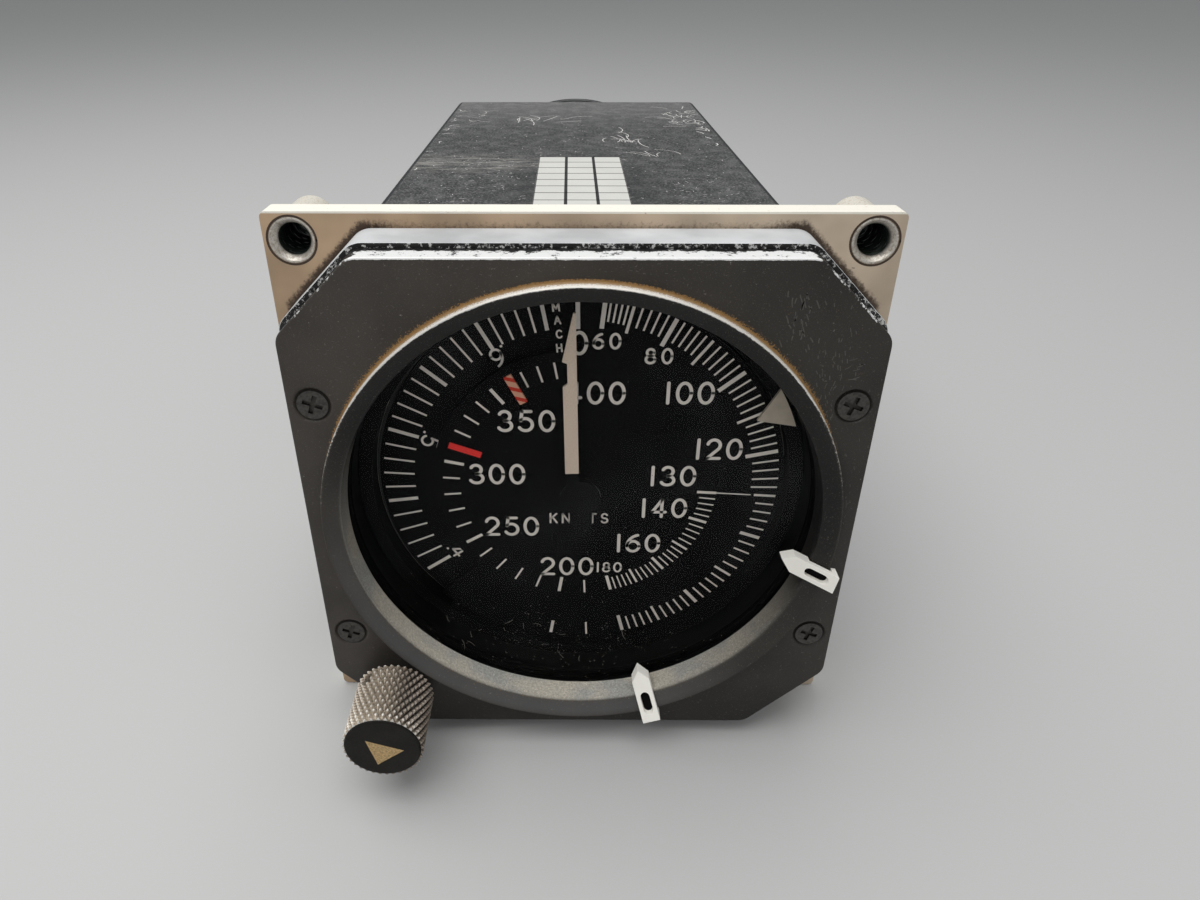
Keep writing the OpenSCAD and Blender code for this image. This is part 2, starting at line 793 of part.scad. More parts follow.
module hairspring() {
    steps = spring_turns * 24;
    spiral = function (i, side)
        polar(collet_r + spring_gap + spring_pitch * i / 24 + side * spring_wire, i * 15);
    y = collet_y + (collet_t - spring_t) / 2;
    color("steelblue") slab(y, y + spring_t)
        polygon(concat([for (i = [0:steps]) spiral(i, 0)], [for (i = [steps:-1:0]) spiral(i, 1)]));
}

module hairspring_stud() {
    color("goldenrod") rod([0, spring_end_r + spring_wire + stud_r], stud_r, collet_y, rear_plate_y);
}

// Plate of the movement with holes for bearings and pillars, and one of radius hole_r on the axis
module movement_plate(y0, y1, hole_r) {
    slab(y0, y1) difference() {
        polygon(rounded(box_points(2 * plate_half, 2 * plate_half), 3, 4));
        circle(hole_r);
        for (p = [airspeed_at, altitude_at]) translate(p) circle(bearing_r);
        for (x = [-pillar_at, pillar_at], z = [-pillar_at, pillar_at])
            translate([x, z]) circle(pillar_r * 0.6);
    }
}

module front_plate() {
    color("darkkhaki") movement_plate(front_plate_y, front_plate_back, dial_bush_r);
}

module rear_plate() {
    color("darkkhaki") movement_plate(rear_plate_y, rear_plate_back, bearing_r);
}

module bearing_bush(p, hole_r, y0, y1) {
    slab(y0, y1) translate(p) difference() {
        circle(bearing_r);
        circle(hole_r);
    }
}

module front_bearings() {
    color("crimson") for (p = [airspeed_at, altitude_at])
        bearing_bush(p, arbor_r + run, front_plate_y, front_plate_back);
}

module rear_bearings() {
    color("crimson") {
        bearing_bush([0, 0], staff_r + run, rear_plate_y, rear_plate_back);
        for (p = [airspeed_at, altitude_at]) bearing_bush(p, arbor_r + run, rear_plate_y, rear_plate_back);
    }
}

module front_posts() {
    color("goldenrod") four_corners(pillar_at) {
        rod([0, 0], pillar_r, flange_t, front_plate_y);
        rod([0, 0], pillar_r * 0.6, front_plate_y, front_plate_back + 4);
    }
}

module plate_pillars() {
    color("goldenrod") four_corners(pillar_at) difference() {
        rod([0, 0], pillar_r, front_plate_back, rear_plate_y);
        rod([0, 0], pillar_r * 0.6, front_plate_back - 1, front_plate_back + 4);
        rod([0, 0], pillar_r * 0.6, rear_plate_y - 4, rear_plate_y + 1);
    }
}

module pillar_screws() {
    color("silver") four_corners(pillar_at) difference() {
        union() {
            rod([0, 0], pillar_r, rear_plate_back, rear_plate_back + 1.4);
            rod([0, 0], pillar_r * 0.6, rear_plate_y - 4, rear_plate_back);
        }
        translate([0, rear_plate_back + 1.4, 0]) cube([2 * pillar_r + 1, 1.2, 0.6], center = true);
    }
}

module toothed_sector(p, teeth, angle, first, last, y) {
    slab(y, y + sector_t) translate(p) difference() {
        union() {
            polygon(sector_points(teeth, train_module, angle, first, last, arm_hub_r));
            circle(arm_hub_r + 1);
        }
        circle(arbor_r);
    }
}

module airspeed_sector() {
    color("goldenrod")
        toothed_sector(airspeed_at, hand_sector_teeth, 0, -2, 12, hand_gear_y + (hand_gear_t - sector_t) / 2);
}

module altitude_sectors() {
    color("goldenrod") {
        toothed_sector(altitude_at, mach_sector_teeth, 90, -10, 2, mach_gear_y);
        toothed_sector(altitude_at, limit_sector_teeth, 90, -10, 2,
                       limit_gear_y + (limit_gear_t - sector_t) / 2);
    }
}

// Arbor with the arm that feels a capsule
module arbor_with_arm(p, angle, y0) {
    y1 = capsule_y + arm_t / 2;
    tip = polar(arm_len, angle);
    side = polar(arm_half, angle + 90);
    rod(p, arbor_r, y0, y1);
    slab(capsule_y - arm_t / 2, y1) translate(p) {
        circle(arm_hub_r);
        polygon([side, tip + side, tip - side, -side]);
        translate(tip) circle(arm_pin_r);
    }
}

module airspeed_arbor() {
    color("silver") arbor_with_arm(airspeed_at, airspeed_arm_angle, front_plate_y);
}

module altitude_arbor() {
    color("silver") arbor_with_arm(altitude_at, altitude_arm_angle, mach_gear_y);
}

// Corrugated capsule about Z: its lower face is at z = 0, and its stem stands on top
module capsule() {
    rise = 0.9;
    waves = 4;
    wave_w = (capsule_r - 4) / (2 * waves);
    top = [for (i = [0:2 * waves]) [3 + i * wave_w, capsule_half - rise * (i % 2)]];
    rim = [[capsule_r, 0.5], [capsule_r, -0.5]];
    low = [for (i = [2 * waves:-1:0]) [3 + i * wave_w, -capsule_half + rise * (i % 2)]];
    translate([0, 0, capsule_half]) difference() {
        union() {
            rotate_extrude() polygon(concat([[0, capsule_half]], top, rim, low, [[0, -capsule_half]]));
            cylinder(r = stem_r, h = capsule_half + stem_len);
        }
        translate([0, 0, -capsule_half - 1]) cylinder(r = post_r + run, h = post_depth + 1.5);
    }
}

module airspeed_capsule() {
    color("darkgoldenrod")
        translate([airspeed_capsule_x, capsule_y, airspeed_tip[1]]) rotate([0, 90, 0]) capsule();
}

module altitude_capsule() {
    color("darkgoldenrod") translate([altitude_tip[0], capsule_y, altitude_capsule_z]) capsule();
}

module airspeed_post() {
    color("silver") translate([airspeed_post_end, capsule_y, airspeed_tip[1]]) rotate([0, 90, 0])
        cylinder(r = post_r, h = post_show + post_depth);
}

module altitude_post() {
    color("silver") translate([altitude_tip[0], capsule_y, altitude_post_end])
        cylinder(r = post_r, h = post_show + post_depth);
}

// Bracket about Z: a shelf at z = 0 on which a capsule's stem is fixed, and a foot on the rear plate
module capsule_bracket() {
    difference() {
        union() {
            translate([-bracket_half, rear_plate_back, 0]) cube([2 * bracket_half, bracket_len, bracket_t]);
            translate([-bracket_half, rear_plate_back, -bracket_foot])
                cube([2 * bracket_half, bracket_t, bracket_foot]);
        }
        translate([0, capsule_y, -1]) cylinder(r = stem_r, h = bracket_t + 2);
        for (x = [-1, 1])
            rod([x * (bracket_half - 2.5), -bracket_foot / 2], bracket_screw_r, rear_plate_back - 1,
                rear_plate_back + bracket_t + 1);
    }
}

// Moves a bracket, or its screws, from above z = 0 to where each capsule's stem ends
module at_airspeed_shelf() {
    translate([airspeed_capsule_x + 2 * capsule_half + bracket_gap, 0, airspeed_tip[1]])
        rotate([0, 90, 0]) children();
}

module at_altitude_shelf() {
    translate([altitude_tip[0], 0, altitude_capsule_z + 2 * capsule_half + bracket_gap]) children();
}

module airspeed_bracket() {
    color("darkkhaki") at_airspeed_shelf() capsule_bracket();
}

module altitude_bracket() {
    color("darkkhaki") at_altitude_shelf() capsule_bracket();
}

module shelf_screws() {
    y = rear_plate_back + bracket_t;
    for (x = [-1, 1]) {
        p = [x * (bracket_half - 2.5), -bracket_foot / 2];
        rod(p, bracket_screw_r, rear_plate_back, y);
        rod(p, bracket_screw_r * 1.8, y, y + 1.2);
    }
}

module bracket_screws() {
    color("silver") {
        at_airspeed_shelf() shelf_screws();
        at_altitude_shelf() shelf_screws();
    }
}

// Quarter bend of the pressure line about the point c, from angle a on, both seen from above
module line_elbow(c, a) {
    translate(c) rotate([0, 0, a]) rotate_extrude(angle = 90) translate([line_bend, 0]) circle(line_r);
}

module pitot_line() {
    near_y = capsule_y + line_bend;
    far_y = case_len - case_wall - boss_len - line_bend - line_r - 1;
    color("peru") translate([0, 0, airspeed_tip[1]]) {
        line_elbow([line_x - line_bend, near_y], -90);
        rod([line_x, 0], line_r, near_y, far_y);
        line_elbow([line_x - line_bend, far_y], 0);
        translate([port_x + line_bend, far_y + line_bend, 0]) rotate([0, 90, 0])
            cylinder(r = line_r, h = line_x - port_x - 2 * line_bend);
        line_elbow([port_x + line_bend, far_y + 2 * line_bend], 180);
        rod([port_x, 0], line_r, far_y + 2 * line_bend, back_y - rear_wall_t - spigot_len);
    }
}

// Case and rear cover

module case_body() {
    lip_cut = nut_body_r + 0.5;
    rear_inside = case_len - case_wall;
    color("black") difference() {
        union() {
            slab(lip_y, case_len) polygon(rounded(box_points(case_side, case_side), case_edge_r, 6));
            slab(lip_y, lip_y + lip_t) difference() {
                polygon(box_points(2 * lip_half, 2 * lip_half));
                for (x = [-nut_at, nut_at], z = [-nut_at, nut_at]) translate([x, z]) circle(lip_cut);
            }
        }
        difference() {
            slab(lip_y - 1, rear_inside)
                polygon(rounded(box_points(2 * inner_half, 2 * inner_half), case_edge_r / 2, 6));
            for (a = [45:90:315]) rod(polar(rear_screw_at, a), boss_r, rear_inside - boss_len, case_len);
        }
        rod([0, 0], rear_opening_r, rear_inside - 1, case_len + 1);
        for (a = [45:90:315])
            rod(polar(rear_screw_at, a), rear_screw_r, rear_inside - boss_len - 1, case_len + 1);
        for (p = case_screws_at) rod(p, case_screw_r + screw_play, lip_y - 1, lip_y + lip_t + 1);
    }
}

module case_seal() {
    color("black") slab(flange_t, lip_y) difference() {
        polygon(box_points(2 * lip_half, 2 * lip_half));
        polygon(box_points(2 * inner_half, 2 * inner_half));
        for (p = case_screws_at) translate(p) circle(case_screw_r + screw_play);
        for (x = [-nut_at, nut_at], z = [-nut_at, nut_at]) translate([x, z]) circle(nut_body_r + 0.5);
    }
}

module case_screws() {
    head_y = lip_y + lip_t;
    color("silver") for (p = case_screws_at) difference() {
        union() {
            rod(p, case_screw_r, flange_t - 2.2, head_y);
            rod(p, case_screw_r * 1.5, head_y, head_y + 1.2);
        }
        translate([p[0], head_y + 1.2, p[1]]) cube([case_screw_r * 4, 1, 0.5], center = true);
    }
}

module data_label() {
    color("white")
        translate([-label_w / 2 + 0.3, label_far - label_len, case_half]) cube([label_w, label_len, label_t]);
}

module rear_seal() {
    color("black") slab(case_len, rear_y) difference() {
        circle(rear_neck_r);
        circle(rear_opening_r);
        for (a = [45:90:315]) translate(polar(rear_screw_at, a)) circle(rear_screw_r + screw_play);
    }
}

module rear_cover() {
    hollow_y = back_y - rear_wall_t;
    color("black") difference() {
        turned([[rear_opening_r, rear_y], [rear_neck_r, rear_y], [rear_neck_r, disc_y],
                [rear_disc_r - 0.6, disc_y], [rear_disc_r, disc_y + 0.6], [rear_disc_r, back_y - 1],
                [rear_disc_r - 1, back_y], [0, back_y],
                [0, hollow_y], [rear_opening_r, hollow_y]]);
        for (a = [45:90:315]) {
            rod(polar(rear_screw_at, a), rear_screw_r + screw_play, rear_y - 1, back_y + 1);
            taper(polar(rear_screw_at, a), rear_screw_r + screw_play, 2 * rear_screw_r + screw_play,
                  back_y - rear_screw_r, back_y);
        }
        for (s = [-1, 1]) rod([s * port_x, port_z], spigot_r, hollow_y - 1, back_y + 1);
        rod([0, plug_z], plug_r - plug_wall, hollow_y - 1, back_y + 1);
    }
}

module rear_screws() {
    color("silver") for (a = [45:90:315])
        translate([0, back_y, 0]) rotate([0, a, 0]) translate([0, 0, rear_screw_at]) mirror([0, 1, 0])
            flat_screw([0, 0], 2 * rear_screw_r, rear_screw_r,
                       0, back_y - case_len + case_wall + boss_len - 1);
}

module pressure_port(x) {
    hollow_y = back_y - rear_wall_t;
    difference() {
        union() {
            rod([x, port_z], spigot_r, hollow_y - spigot_len, back_y);
            slab(back_y, back_y + hex_t) translate([x, port_z]) circle(hex_r, $fn = 6);
            rod([x, port_z], port_r, back_y + hex_t, back_y + hex_t + port_len);
        }
        rod([x, port_z], port_bore_r, hollow_y - spigot_len - 1, back_y + hex_t + port_len + 1);
    }
}

module pitot_port() {
    color("lightsteelblue") pressure_port(port_x);
}

module static_port() {
    color("lightsteelblue") pressure_port(-port_x);
}

module electrical_connector() {
    shell_end = back_y + plug_flange_t + plug_len;
    color("olive") difference() {
        union() {
            rod([0, plug_z], plug_r - plug_wall, back_y - rear_wall_t, back_y);
            slab(back_y, back_y + plug_flange_t) translate([0, plug_z])
                polygon(rounded(box_points(plug_flange, plug_flange), 2, 4));
            rod([0, plug_z], plug_r, back_y + plug_flange_t, shell_end);
        }
        rod([0, plug_z], plug_r - plug_wall, back_y + plug_floor, shell_end + 1);
    }
}

module connector_pins() {
    color("gold") {
        rod([0, plug_z], pin_r, back_y + plug_floor, back_y + plug_len - 2);
        for (a = [0:60:300])
            rod([0, plug_z] + polar((plug_r - plug_wall) * 0.58, a), pin_r,
                back_y + plug_floor, back_y + plug_len - 2);
    }
}

mounting_flange();
mounting_nuts();
bezel_frame();
bezel_cover();
bezel_seal();
bezel_screws();
window_glass();
glass_seal();
reference_bug_right();
reference_bug_lower();
knob();
knob_cap();
knob_set_screw();
knob_shaft();
knob_pinion();
shaft_bush();
shaft_seal();
speed_bug_ring();
speed_bug();
dial_plate();
dial_bush();
mach_disc();
mach_gear();
limit_pointer();
limit_tube();
airspeed_pointer();
hand_staff();
hairspring();
hairspring_stud();
front_plate();
rear_plate();
front_bearings();
rear_bearings();
front_posts();
plate_pillars();
pillar_screws();
airspeed_sector();
airspeed_arbor();
altitude_sectors();
altitude_arbor();
airspeed_capsule();
airspeed_post();
altitude_capsule();
altitude_post();
airspeed_bracket();
altitude_bracket();
bracket_screws();
pitot_line();
case_body();
case_seal();
case_screws();
data_label();
rear_seal();
rear_cover();
rear_screws();
pitot_port();
static_port();
electrical_connector();
connector_pins();
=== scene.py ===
"""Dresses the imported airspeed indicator: worn paint, printed dial, knurled knob, glass and studio."""
import math
from functools import cached_property, partialmethod

import bmesh
import bpy
import numpy as np
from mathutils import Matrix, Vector


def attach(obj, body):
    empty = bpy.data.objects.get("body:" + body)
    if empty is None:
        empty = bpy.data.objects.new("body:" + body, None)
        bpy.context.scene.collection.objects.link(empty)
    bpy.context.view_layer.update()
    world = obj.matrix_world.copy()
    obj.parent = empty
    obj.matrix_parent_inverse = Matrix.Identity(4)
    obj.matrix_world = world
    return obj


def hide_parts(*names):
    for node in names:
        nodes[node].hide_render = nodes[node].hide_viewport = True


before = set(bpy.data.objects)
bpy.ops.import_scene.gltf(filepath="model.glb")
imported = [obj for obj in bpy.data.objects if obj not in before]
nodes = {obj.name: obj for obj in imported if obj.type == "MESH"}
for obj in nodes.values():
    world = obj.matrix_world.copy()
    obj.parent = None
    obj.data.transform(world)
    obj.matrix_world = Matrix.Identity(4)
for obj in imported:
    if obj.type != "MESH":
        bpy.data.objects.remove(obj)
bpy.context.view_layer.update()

scene = bpy.context.scene
scene.view_settings.view_transform = "Standard"

MM = 0.001

# Sizes in millimetres, as in the part's source
FACE_Y, RING_Y, FRAME_Y, GLASS_Y = -10.7, -12.65, -6.9, -7.4
BEZEL_W, BEZEL_H, TOP_CUT, BOTTOM_CUT, BEZEL_CORNER = 76.4, 77.3, 10.2, 11.2, 2.6
FRAME_STEP, EDGE_BEVEL = 0.65, 0.2
RING_R, WINDOW_R, REBATE_R, RING_BEVEL = 35.8, 33.3, 34.8, 1.55
RING_SLOPE = RING_BEVEL / (RING_R - WINDOW_R)
SCREWS = [(-34.85, 19.2), (34.85, 19.2), (-34.85, -19.65), (34.85, -19.65)]
NUT_AT, NUT_BORE, NUT_SLEEVE, NUT_BODY, FLANGE_T = 37.55, 2.0, 3.05, 3.25, 3.65
NUT_BACK = FLANGE_T + 7.6
KNOB = 41.4 * np.array([math.sin(math.radians(223.8)), math.cos(math.radians(223.8))])
KNOB_R, KNOB_CAP_R, KNOB_BACK, KNOB_FRONT, KNOB_CAP_T = 5.95, 5.58, -12.9, -24.0, 0.8
FLANGE_HALF = 41.275
DIAL_Y, MACH_Y = 0.1, 1.2
CASE_HALF, CASE_LEN = 34.0, 149.6
RIGHT_BUG, LOWER_BUG, BUG_GAP = 101.6, 161.8, 0.2

# Details that only the scene has, in millimetres and degrees
SCREW_SINK, SCREW_FLOOR_R, SCREW_RIM_R = 0.45, 2.12, 2.55
THREAD_PITCH, THREAD_DEPTH = 0.75, 0.28
KNURL_AROUND, KNURL_ALONG, KNURL_DEPTH = 36, 6, 0.5
SET_SCREW_TURN, SET_SCREW_R, SET_SCREW_DEPTH = 320, 1.0, 1.8
ROUND_EDGE, SHARP_EDGE, FLAT_JOIN = math.radians(35), math.radians(40), math.radians(0.6)
PRINT_LIFT = 0.01
OUTER_SCALE, INNER_SCALE = 29.8, 20.75


def polar(r, angle):
    """Point at radius r, at an angle clockwise from the top of the dial: x = r sin a, z = r cos a."""
    a = np.radians(angle)
    return np.stack(np.broadcast_arrays(r * np.sin(a), r * np.cos(a)), axis=-1)


def smooth_step(value, low, high):
    """0 below low, 1 above high, and a smooth curve between them."""
    f = np.clip((value - low) / (high - low), 0, 1)
    return f * f * (3 - 2 * f)


def facing(t, angle):
    """Cosine of the angle between each direction t, in radians, and one direction in degrees."""
    return np.cos(t - math.radians(angle))


# Meshes

def put_mesh(name, points, faces, material, slot, body="housing", smooth=True, **attributes):
    """Makes one piece from an array of points in millimetres and an array of faces, and lets it ride on a body.
    Each named attribute is an array with one number for each point."""
    mesh = bpy.data.meshes.new(name)
    mesh.from_pydata((np.asarray(points, float) * MM).tolist(), [], np.asarray(faces).tolist())
    mesh.polygons.foreach_set("use_smooth", np.full(len(mesh.polygons), smooth))
    for label, values in attributes.items():
        stored = mesh.attributes.new(label, "FLOAT", "POINT")
        stored.data.foreach_set("value", np.asarray(values, np.float32).ravel())
    mesh.materials.append(material)
    mesh.update()
    piece = bpy.data.objects.new(name, mesh)
    scene.collection.objects.link(piece)
    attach(piece, body)
    return piece


def grid_faces(rows, columns, close_rows=False, close_columns=False):
    """Four-sided faces of a grid of points, row after row; a closed direction joins its last line to its first."""
    i, j = np.meshgrid(np.arange(rows - (not close_rows)), np.arange(columns - (not close_columns)), indexing="ij")
    i2, j2 = (i + 1) % rows, (j + 1) % columns
    return np.stack([i * columns + j, i * columns + j2, i2 * columns + j2, i2 * columns + j], -1).reshape(-1, 4)


def revolve(r, y, t, centre=(0.0, 0.0)):
    """Points and faces of a closed turned surface: x = x0 + r sin t and z = z0 + r cos t, with the radius r and the
    depth y given for each row and each angle t."""
    points = np.stack([centre[0] + r * np.sin(t), y, centre[1] + r * np.cos(t)], -1).reshape(-1, 3)
    return points, grid_faces(len(r), len(t), True, True)


def spread_out(column, t):
    """Repeats a column of values once for each angle t."""
    return np.repeat(np.asarray(column, float)[:, None], len(t), 1)


def smooth_copy(node, material, slot, bevel, segments, edge_material=None, body="housing"):
    """A copy of a CAD node with its triangles merged into flat faces, its sharp edges rounded and its curves smooth."""
    mesh = nodes[node].data.copy()
    piece = bpy.data.objects.new(node + "_finished", mesh)
    scene.collection.objects.link(piece)
    for name in [a.name for a in mesh.attributes if a.name.startswith("custom_normal")]:
        mesh.attributes.remove(mesh.attributes[name])
    work = bmesh.new()
    work.from_mesh(mesh)
    bmesh.ops.remove_doubles(work, verts=work.verts, dist=2e-6)
    bmesh.ops.dissolve_limit(work, angle_limit=FLAT_JOIN, verts=work.verts, edges=work.edges)
    bmesh.ops.recalc_face_normals(work, faces=work.faces)
    work.to_mesh(mesh)
    work.free()
    mesh.materials.clear()
    mesh.materials.append(material)
    mesh.polygons.foreach_set("material_index", np.zeros(len(mesh.polygons), np.int32))
    mesh.polygons.foreach_set("use_smooth", np.ones(len(mesh.polygons), bool))
    mesh.set_sharp_from_angle(angle=ROUND_EDGE)
    rounding = piece.modifiers.new("rounding", "BEVEL")
    rounding.width, rounding.segments = bevel * MM, segments
    rounding.limit_method, rounding.angle_limit = "ANGLE", ROUND_EDGE
    rounding.harden_normals = True
    if edge_material is not None:
        mesh.materials.append(edge_material)
        rounding.material = 1
    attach(piece, body)
    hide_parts(node)


# Shader helpers

def rgb(red, green, blue):
    """A display colour of 0 to 255 as the linear colour that the shader takes."""
    c = np.array([red, green, blue]) / 255
    return (*np.where(c <= 0.04045, c / 12.92, ((c + 0.055) / 1.055) ** 2.4), 1)


def dim(color, share):
    """A colour times a share of its brightness."""
    return tuple(c * share for c in color[:3]) + (1,)


class Tree:
    """Makes nodes in one shader tree. The short methods return a socket."""

    def __init__(self, tree):
        self.tree = tree

    def join(self, value, socket):
        """Sets a socket to a plain value, or links it to another node's socket."""
        if isinstance(value, bpy.types.NodeSocket):
            self.tree.links.new(value, socket)
        else:
            socket.default_value = value

    def add(self, kind, inputs, **settings):
        """A new node with its settings and inputs."""
        made = self.tree.nodes.new(kind)
        for key, value in settings.items():
            setattr(made, key, value)
        for key, value in inputs.items():
            self.join(value, made.inputs[key])
        return made

    def group(self, group, **inputs):
        """Outputs of a node group, whose inputs are named with underscores for spaces."""
        named = {key.replace("_", " ").title(): value for key, value in inputs.items()}
        return self.add("ShaderNodeGroup", named, node_tree=group).outputs

    def calc(self, operation, a, b=0, clamp=False):
        return self.add("ShaderNodeMath", {0: a, 1: b}, operation=operation, use_clamp=clamp).outputs[0]

    plus, minus, times = partialmethod(calc, "ADD"), partialmethod(calc, "SUBTRACT"), partialmethod(calc, "MULTIPLY")
    above, below = partialmethod(calc, "GREATER_THAN"), partialmethod(calc, "LESS_THAN")
    larger, size = partialmethod(calc, "MAXIMUM"), partialmethod(calc, "ABSOLUTE")

    def length(self, a, b):
        """Length of the flat vector (a, b)."""
        return self.calc("SQRT", self.plus(self.times(a, a), self.times(b, b)))

    def vector(self, operation, a, b=(0, 0, 0), output=0):
        return self.add("ShaderNodeVectorMath", {0: a, 1: b}, operation=operation).outputs[output]

    def ramp(self, value, low, high, start=0, end=1):
        """Smooth step from start to end as value runs from low to high."""
        return self.add("ShaderNodeMapRange", {0: value, 1: low, 2: high, 3: start, 4: end},
                        interpolation_type="SMOOTHSTEP", clamp=True).outputs[0]

    def mix(self, mask, a, b):
        return self.add("ShaderNodeMix", {0: mask, 6: a, 7: b}, data_type="RGBA").outputs[2]

    def mottle(self, value, a, b, low=0.35, high=0.7):
        """Goes from one colour to another as value runs from low to high."""
        return self.mix(self.ramp(value, low, high), a, b)

    def place(self, stretch=(1, 1, 1)):
        """Object coordinates in millimetres, stretched along each axis."""
        where = self.add("ShaderNodeTexCoord", {}).outputs["Object"]
        return self.add("ShaderNodeMapping", {"Vector": where, "Scale": [s / MM for s in stretch]}).outputs[0]

    @cached_property
    def here(self):
        return self.place()

    @cached_property
    def axes(self):
        return self.add("ShaderNodeSeparateXYZ", {0: self.here}).outputs[:3]

    @cached_property
    def from_axis(self):
        """Distance from the dial's axis in millimetres."""
        return self.length(self.axes[0], self.axes[2])

    def noise(self, scale, detail=4, roughness=0.7, place=None):
        return self.add("ShaderNodeTexNoise", {"Vector": place or self.here, "Scale": scale, "Detail": detail,
                                               "Roughness": roughness}).outputs[0]

    def attribute(self, label):
        return self.add("ShaderNodeAttribute", {}, attribute_name=label).outputs["Fac"]


def start_group(name, inputs, outputs):
    """A new node group as a Tree, with the sockets inside it for its inputs and outputs."""
    tree = bpy.data.node_groups.new(name, "ShaderNodeTree")
    for label, value in inputs:
        kind = "NodeSocketColor" if isinstance(value, tuple) else "NodeSocketFloat"
        tree.interface.new_socket(label, in_out="INPUT", socket_type=kind).default_value = value
    for label in outputs:
        kind = "NodeSocketColor" if label == "Color" else "NodeSocketFloat"
        tree.interface.new_socket(label, in_out="OUTPUT", socket_type=kind)
    return Tree(tree), tree.nodes.new("NodeGroupInput").outputs, tree.nodes.new("NodeGroupOutput").inputs


def make_worn_paint():
    """Paint that has chipped to what lies under it. The chips grow where Edge is near 1 and follow two sizes of noise.
    Fine grains of dust and a slow change of tone lie over both."""
    t, given, out = start_group(
        "worn_paint",
        [("Paint", (0.05, 0.05, 0.05, 1)), ("Bare", (0.6, 0.6, 0.6, 1)), ("Edge", 0), ("Chips", 0), ("Grain", 0.3),
         ("Paint Roughness", 0.5), ("Bare Roughness", 0.4)],
        ["Color", "Roughness", "Bare Mask", "Height"])
    coarse, fine = t.noise(0.55, 5, 0.65), t.noise(2.6)
    grains, tone = t.noise(7, 2, 0.6), t.noise(0.09, 3, 0.5)
    spread = t.plus(t.times(coarse, 0.62), t.times(fine, 0.38))
    reach = t.plus(t.times(given["Edge"], 0.62), given["Chips"])
    bare = t.ramp(t.plus(spread, reach), 0.86, 0.93)
    toned = t.mix(t.ramp(tone, 0.35, 0.7, 0, 0.3), given["Paint"], (0, 0, 0, 1))
    grainy = t.times(t.ramp(grains, 0.6, 0.78), given["Grain"])
    speckled = t.mix(grainy, toned, (0.42, 0.39, 0.35, 1))
    rough = t.plus(given["Paint Roughness"], t.times(t.minus(fine, 0.5), 0.25))
    either = t.add("ShaderNodeMix", {0: bare, 2: rough, 3: given["Bare Roughness"]}).outputs[0]
    t.join(t.mix(bare, speckled, given["Bare"]), out["Color"])
    t.join(either, out["Roughness"])
    t.join(bare, out["Bare Mask"])
    t.join(t.plus(t.minus(1, bare), t.times(grains, 0.25)), out["Height"])
    return t.tree


def make_grime():
    """Dirt: a colour that thickens where Where is near 1, broken up by noise of a chosen scale. Soft is the noise's
    span between clean and thick."""
    t, given, out = start_group(
        "grime",
        [("Color", (0.5, 0.5, 0.5, 1)), ("Dirt", (0.07, 0.045, 0.025, 1)), ("Where", 0), ("Amount", 0.5),
         ("Scale", 0.9), ("Soft", 0.43)],
        ["Color"])
    level = t.plus(t.times(given["Where"], 0.75), t.noise(given["Scale"], 6))
    clean = 0.62
    thick = t.times(t.ramp(level, clean, t.plus(given["Soft"], clean)), given["Amount"])
    t.join(t.mix(thick, given["Color"], given["Dirt"]), out["Color"])
    return t.tree


worn_paint, grime = make_worn_paint(), make_grime()


class Finish(Tree):
    """A new material and its Principled shader."""

    def __init__(self, name, color=(0.5, 0.5, 0.5, 1), roughness=0.5, metallic=0, shine=0.5):
        self.material = bpy.data.materials.new(name)
        self.material.use_nodes = True
        super().__init__(self.material.node_tree)
        for label, value in (("Base Color", color), ("Roughness", roughness), ("Metallic", metallic),
                             ("Specular IOR Level", shine)):
            self.show(label, value)

    def show(self, label, value):
        """Sets one input of the shader."""
        self.join(value, self.tree.nodes["Principled BSDF"].inputs[label])

    def dress(self, color):
        """Shows a colour, and returns the finished material."""
        self.show("Base Color", color)
        return self.material

    def bump(self, height, strength, distance):
        """Lets a height in the range 0 to 1 tilt the shading; distance is in millimetres."""
        made = self.add("ShaderNodeBump", {"Strength": strength, "Distance": distance * MM, "Height": height})
        self.show("Normal", made.outputs[0])

    def soil(self, color, dirt, where, amount, scale, soft=0.43):
        """A colour with grime over it."""
        return self.group(grime, color=color, dirt=dirt, where=where, amount=amount, scale=scale, soft=soft)["Color"]


def painted(name, paint, bare, chips=0, edge=None, grain=0.3, rough=0.5, bare_rough=0.4, metal=0.1, height=0.05,
            shine=0.5):
    """A worn paint finish, and its colour's socket. The paint is a colour, or a function that makes a colour socket in
    the tree; edge names the mesh's attribute that makes the chips grow, or is None."""
    t = Finish(name, shine=shine)
    worn = t.group(worn_paint, paint=paint(t) if callable(paint) else paint, bare=bare, chips=chips, grain=grain,
                   paint_roughness=rough, bare_roughness=bare_rough, edge=t.attribute(edge) if edge else 0)
    t.show("Base Color", worn["Color"])
    t.show("Roughness", worn["Roughness"])
    t.show("Metallic", t.times(worn["Bare Mask"], metal))
    t.bump(worn["Height"], 0.6, height)
    return t, worn["Color"]


def plain(name, color, roughness, metallic, variation, scale, height=0, shine=0.5):
    """One finish with a slow change of tone and roughness over it."""
    t = Finish(name, color, roughness, metallic, shine)
    cloud, grain = t.noise(scale * 0.25, 4, 0.6), t.noise(scale * 4, 3, 0.6)
    t.show("Roughness", t.ramp(grain, 0.25, 0.75, roughness - 0.08, roughness + 0.08))
    if height:
        t.bump(grain, 0.5, height)
    return t.dress(t.mottle(cloud, color, dim(color, 1 - variation), 0.3))


# Finishes

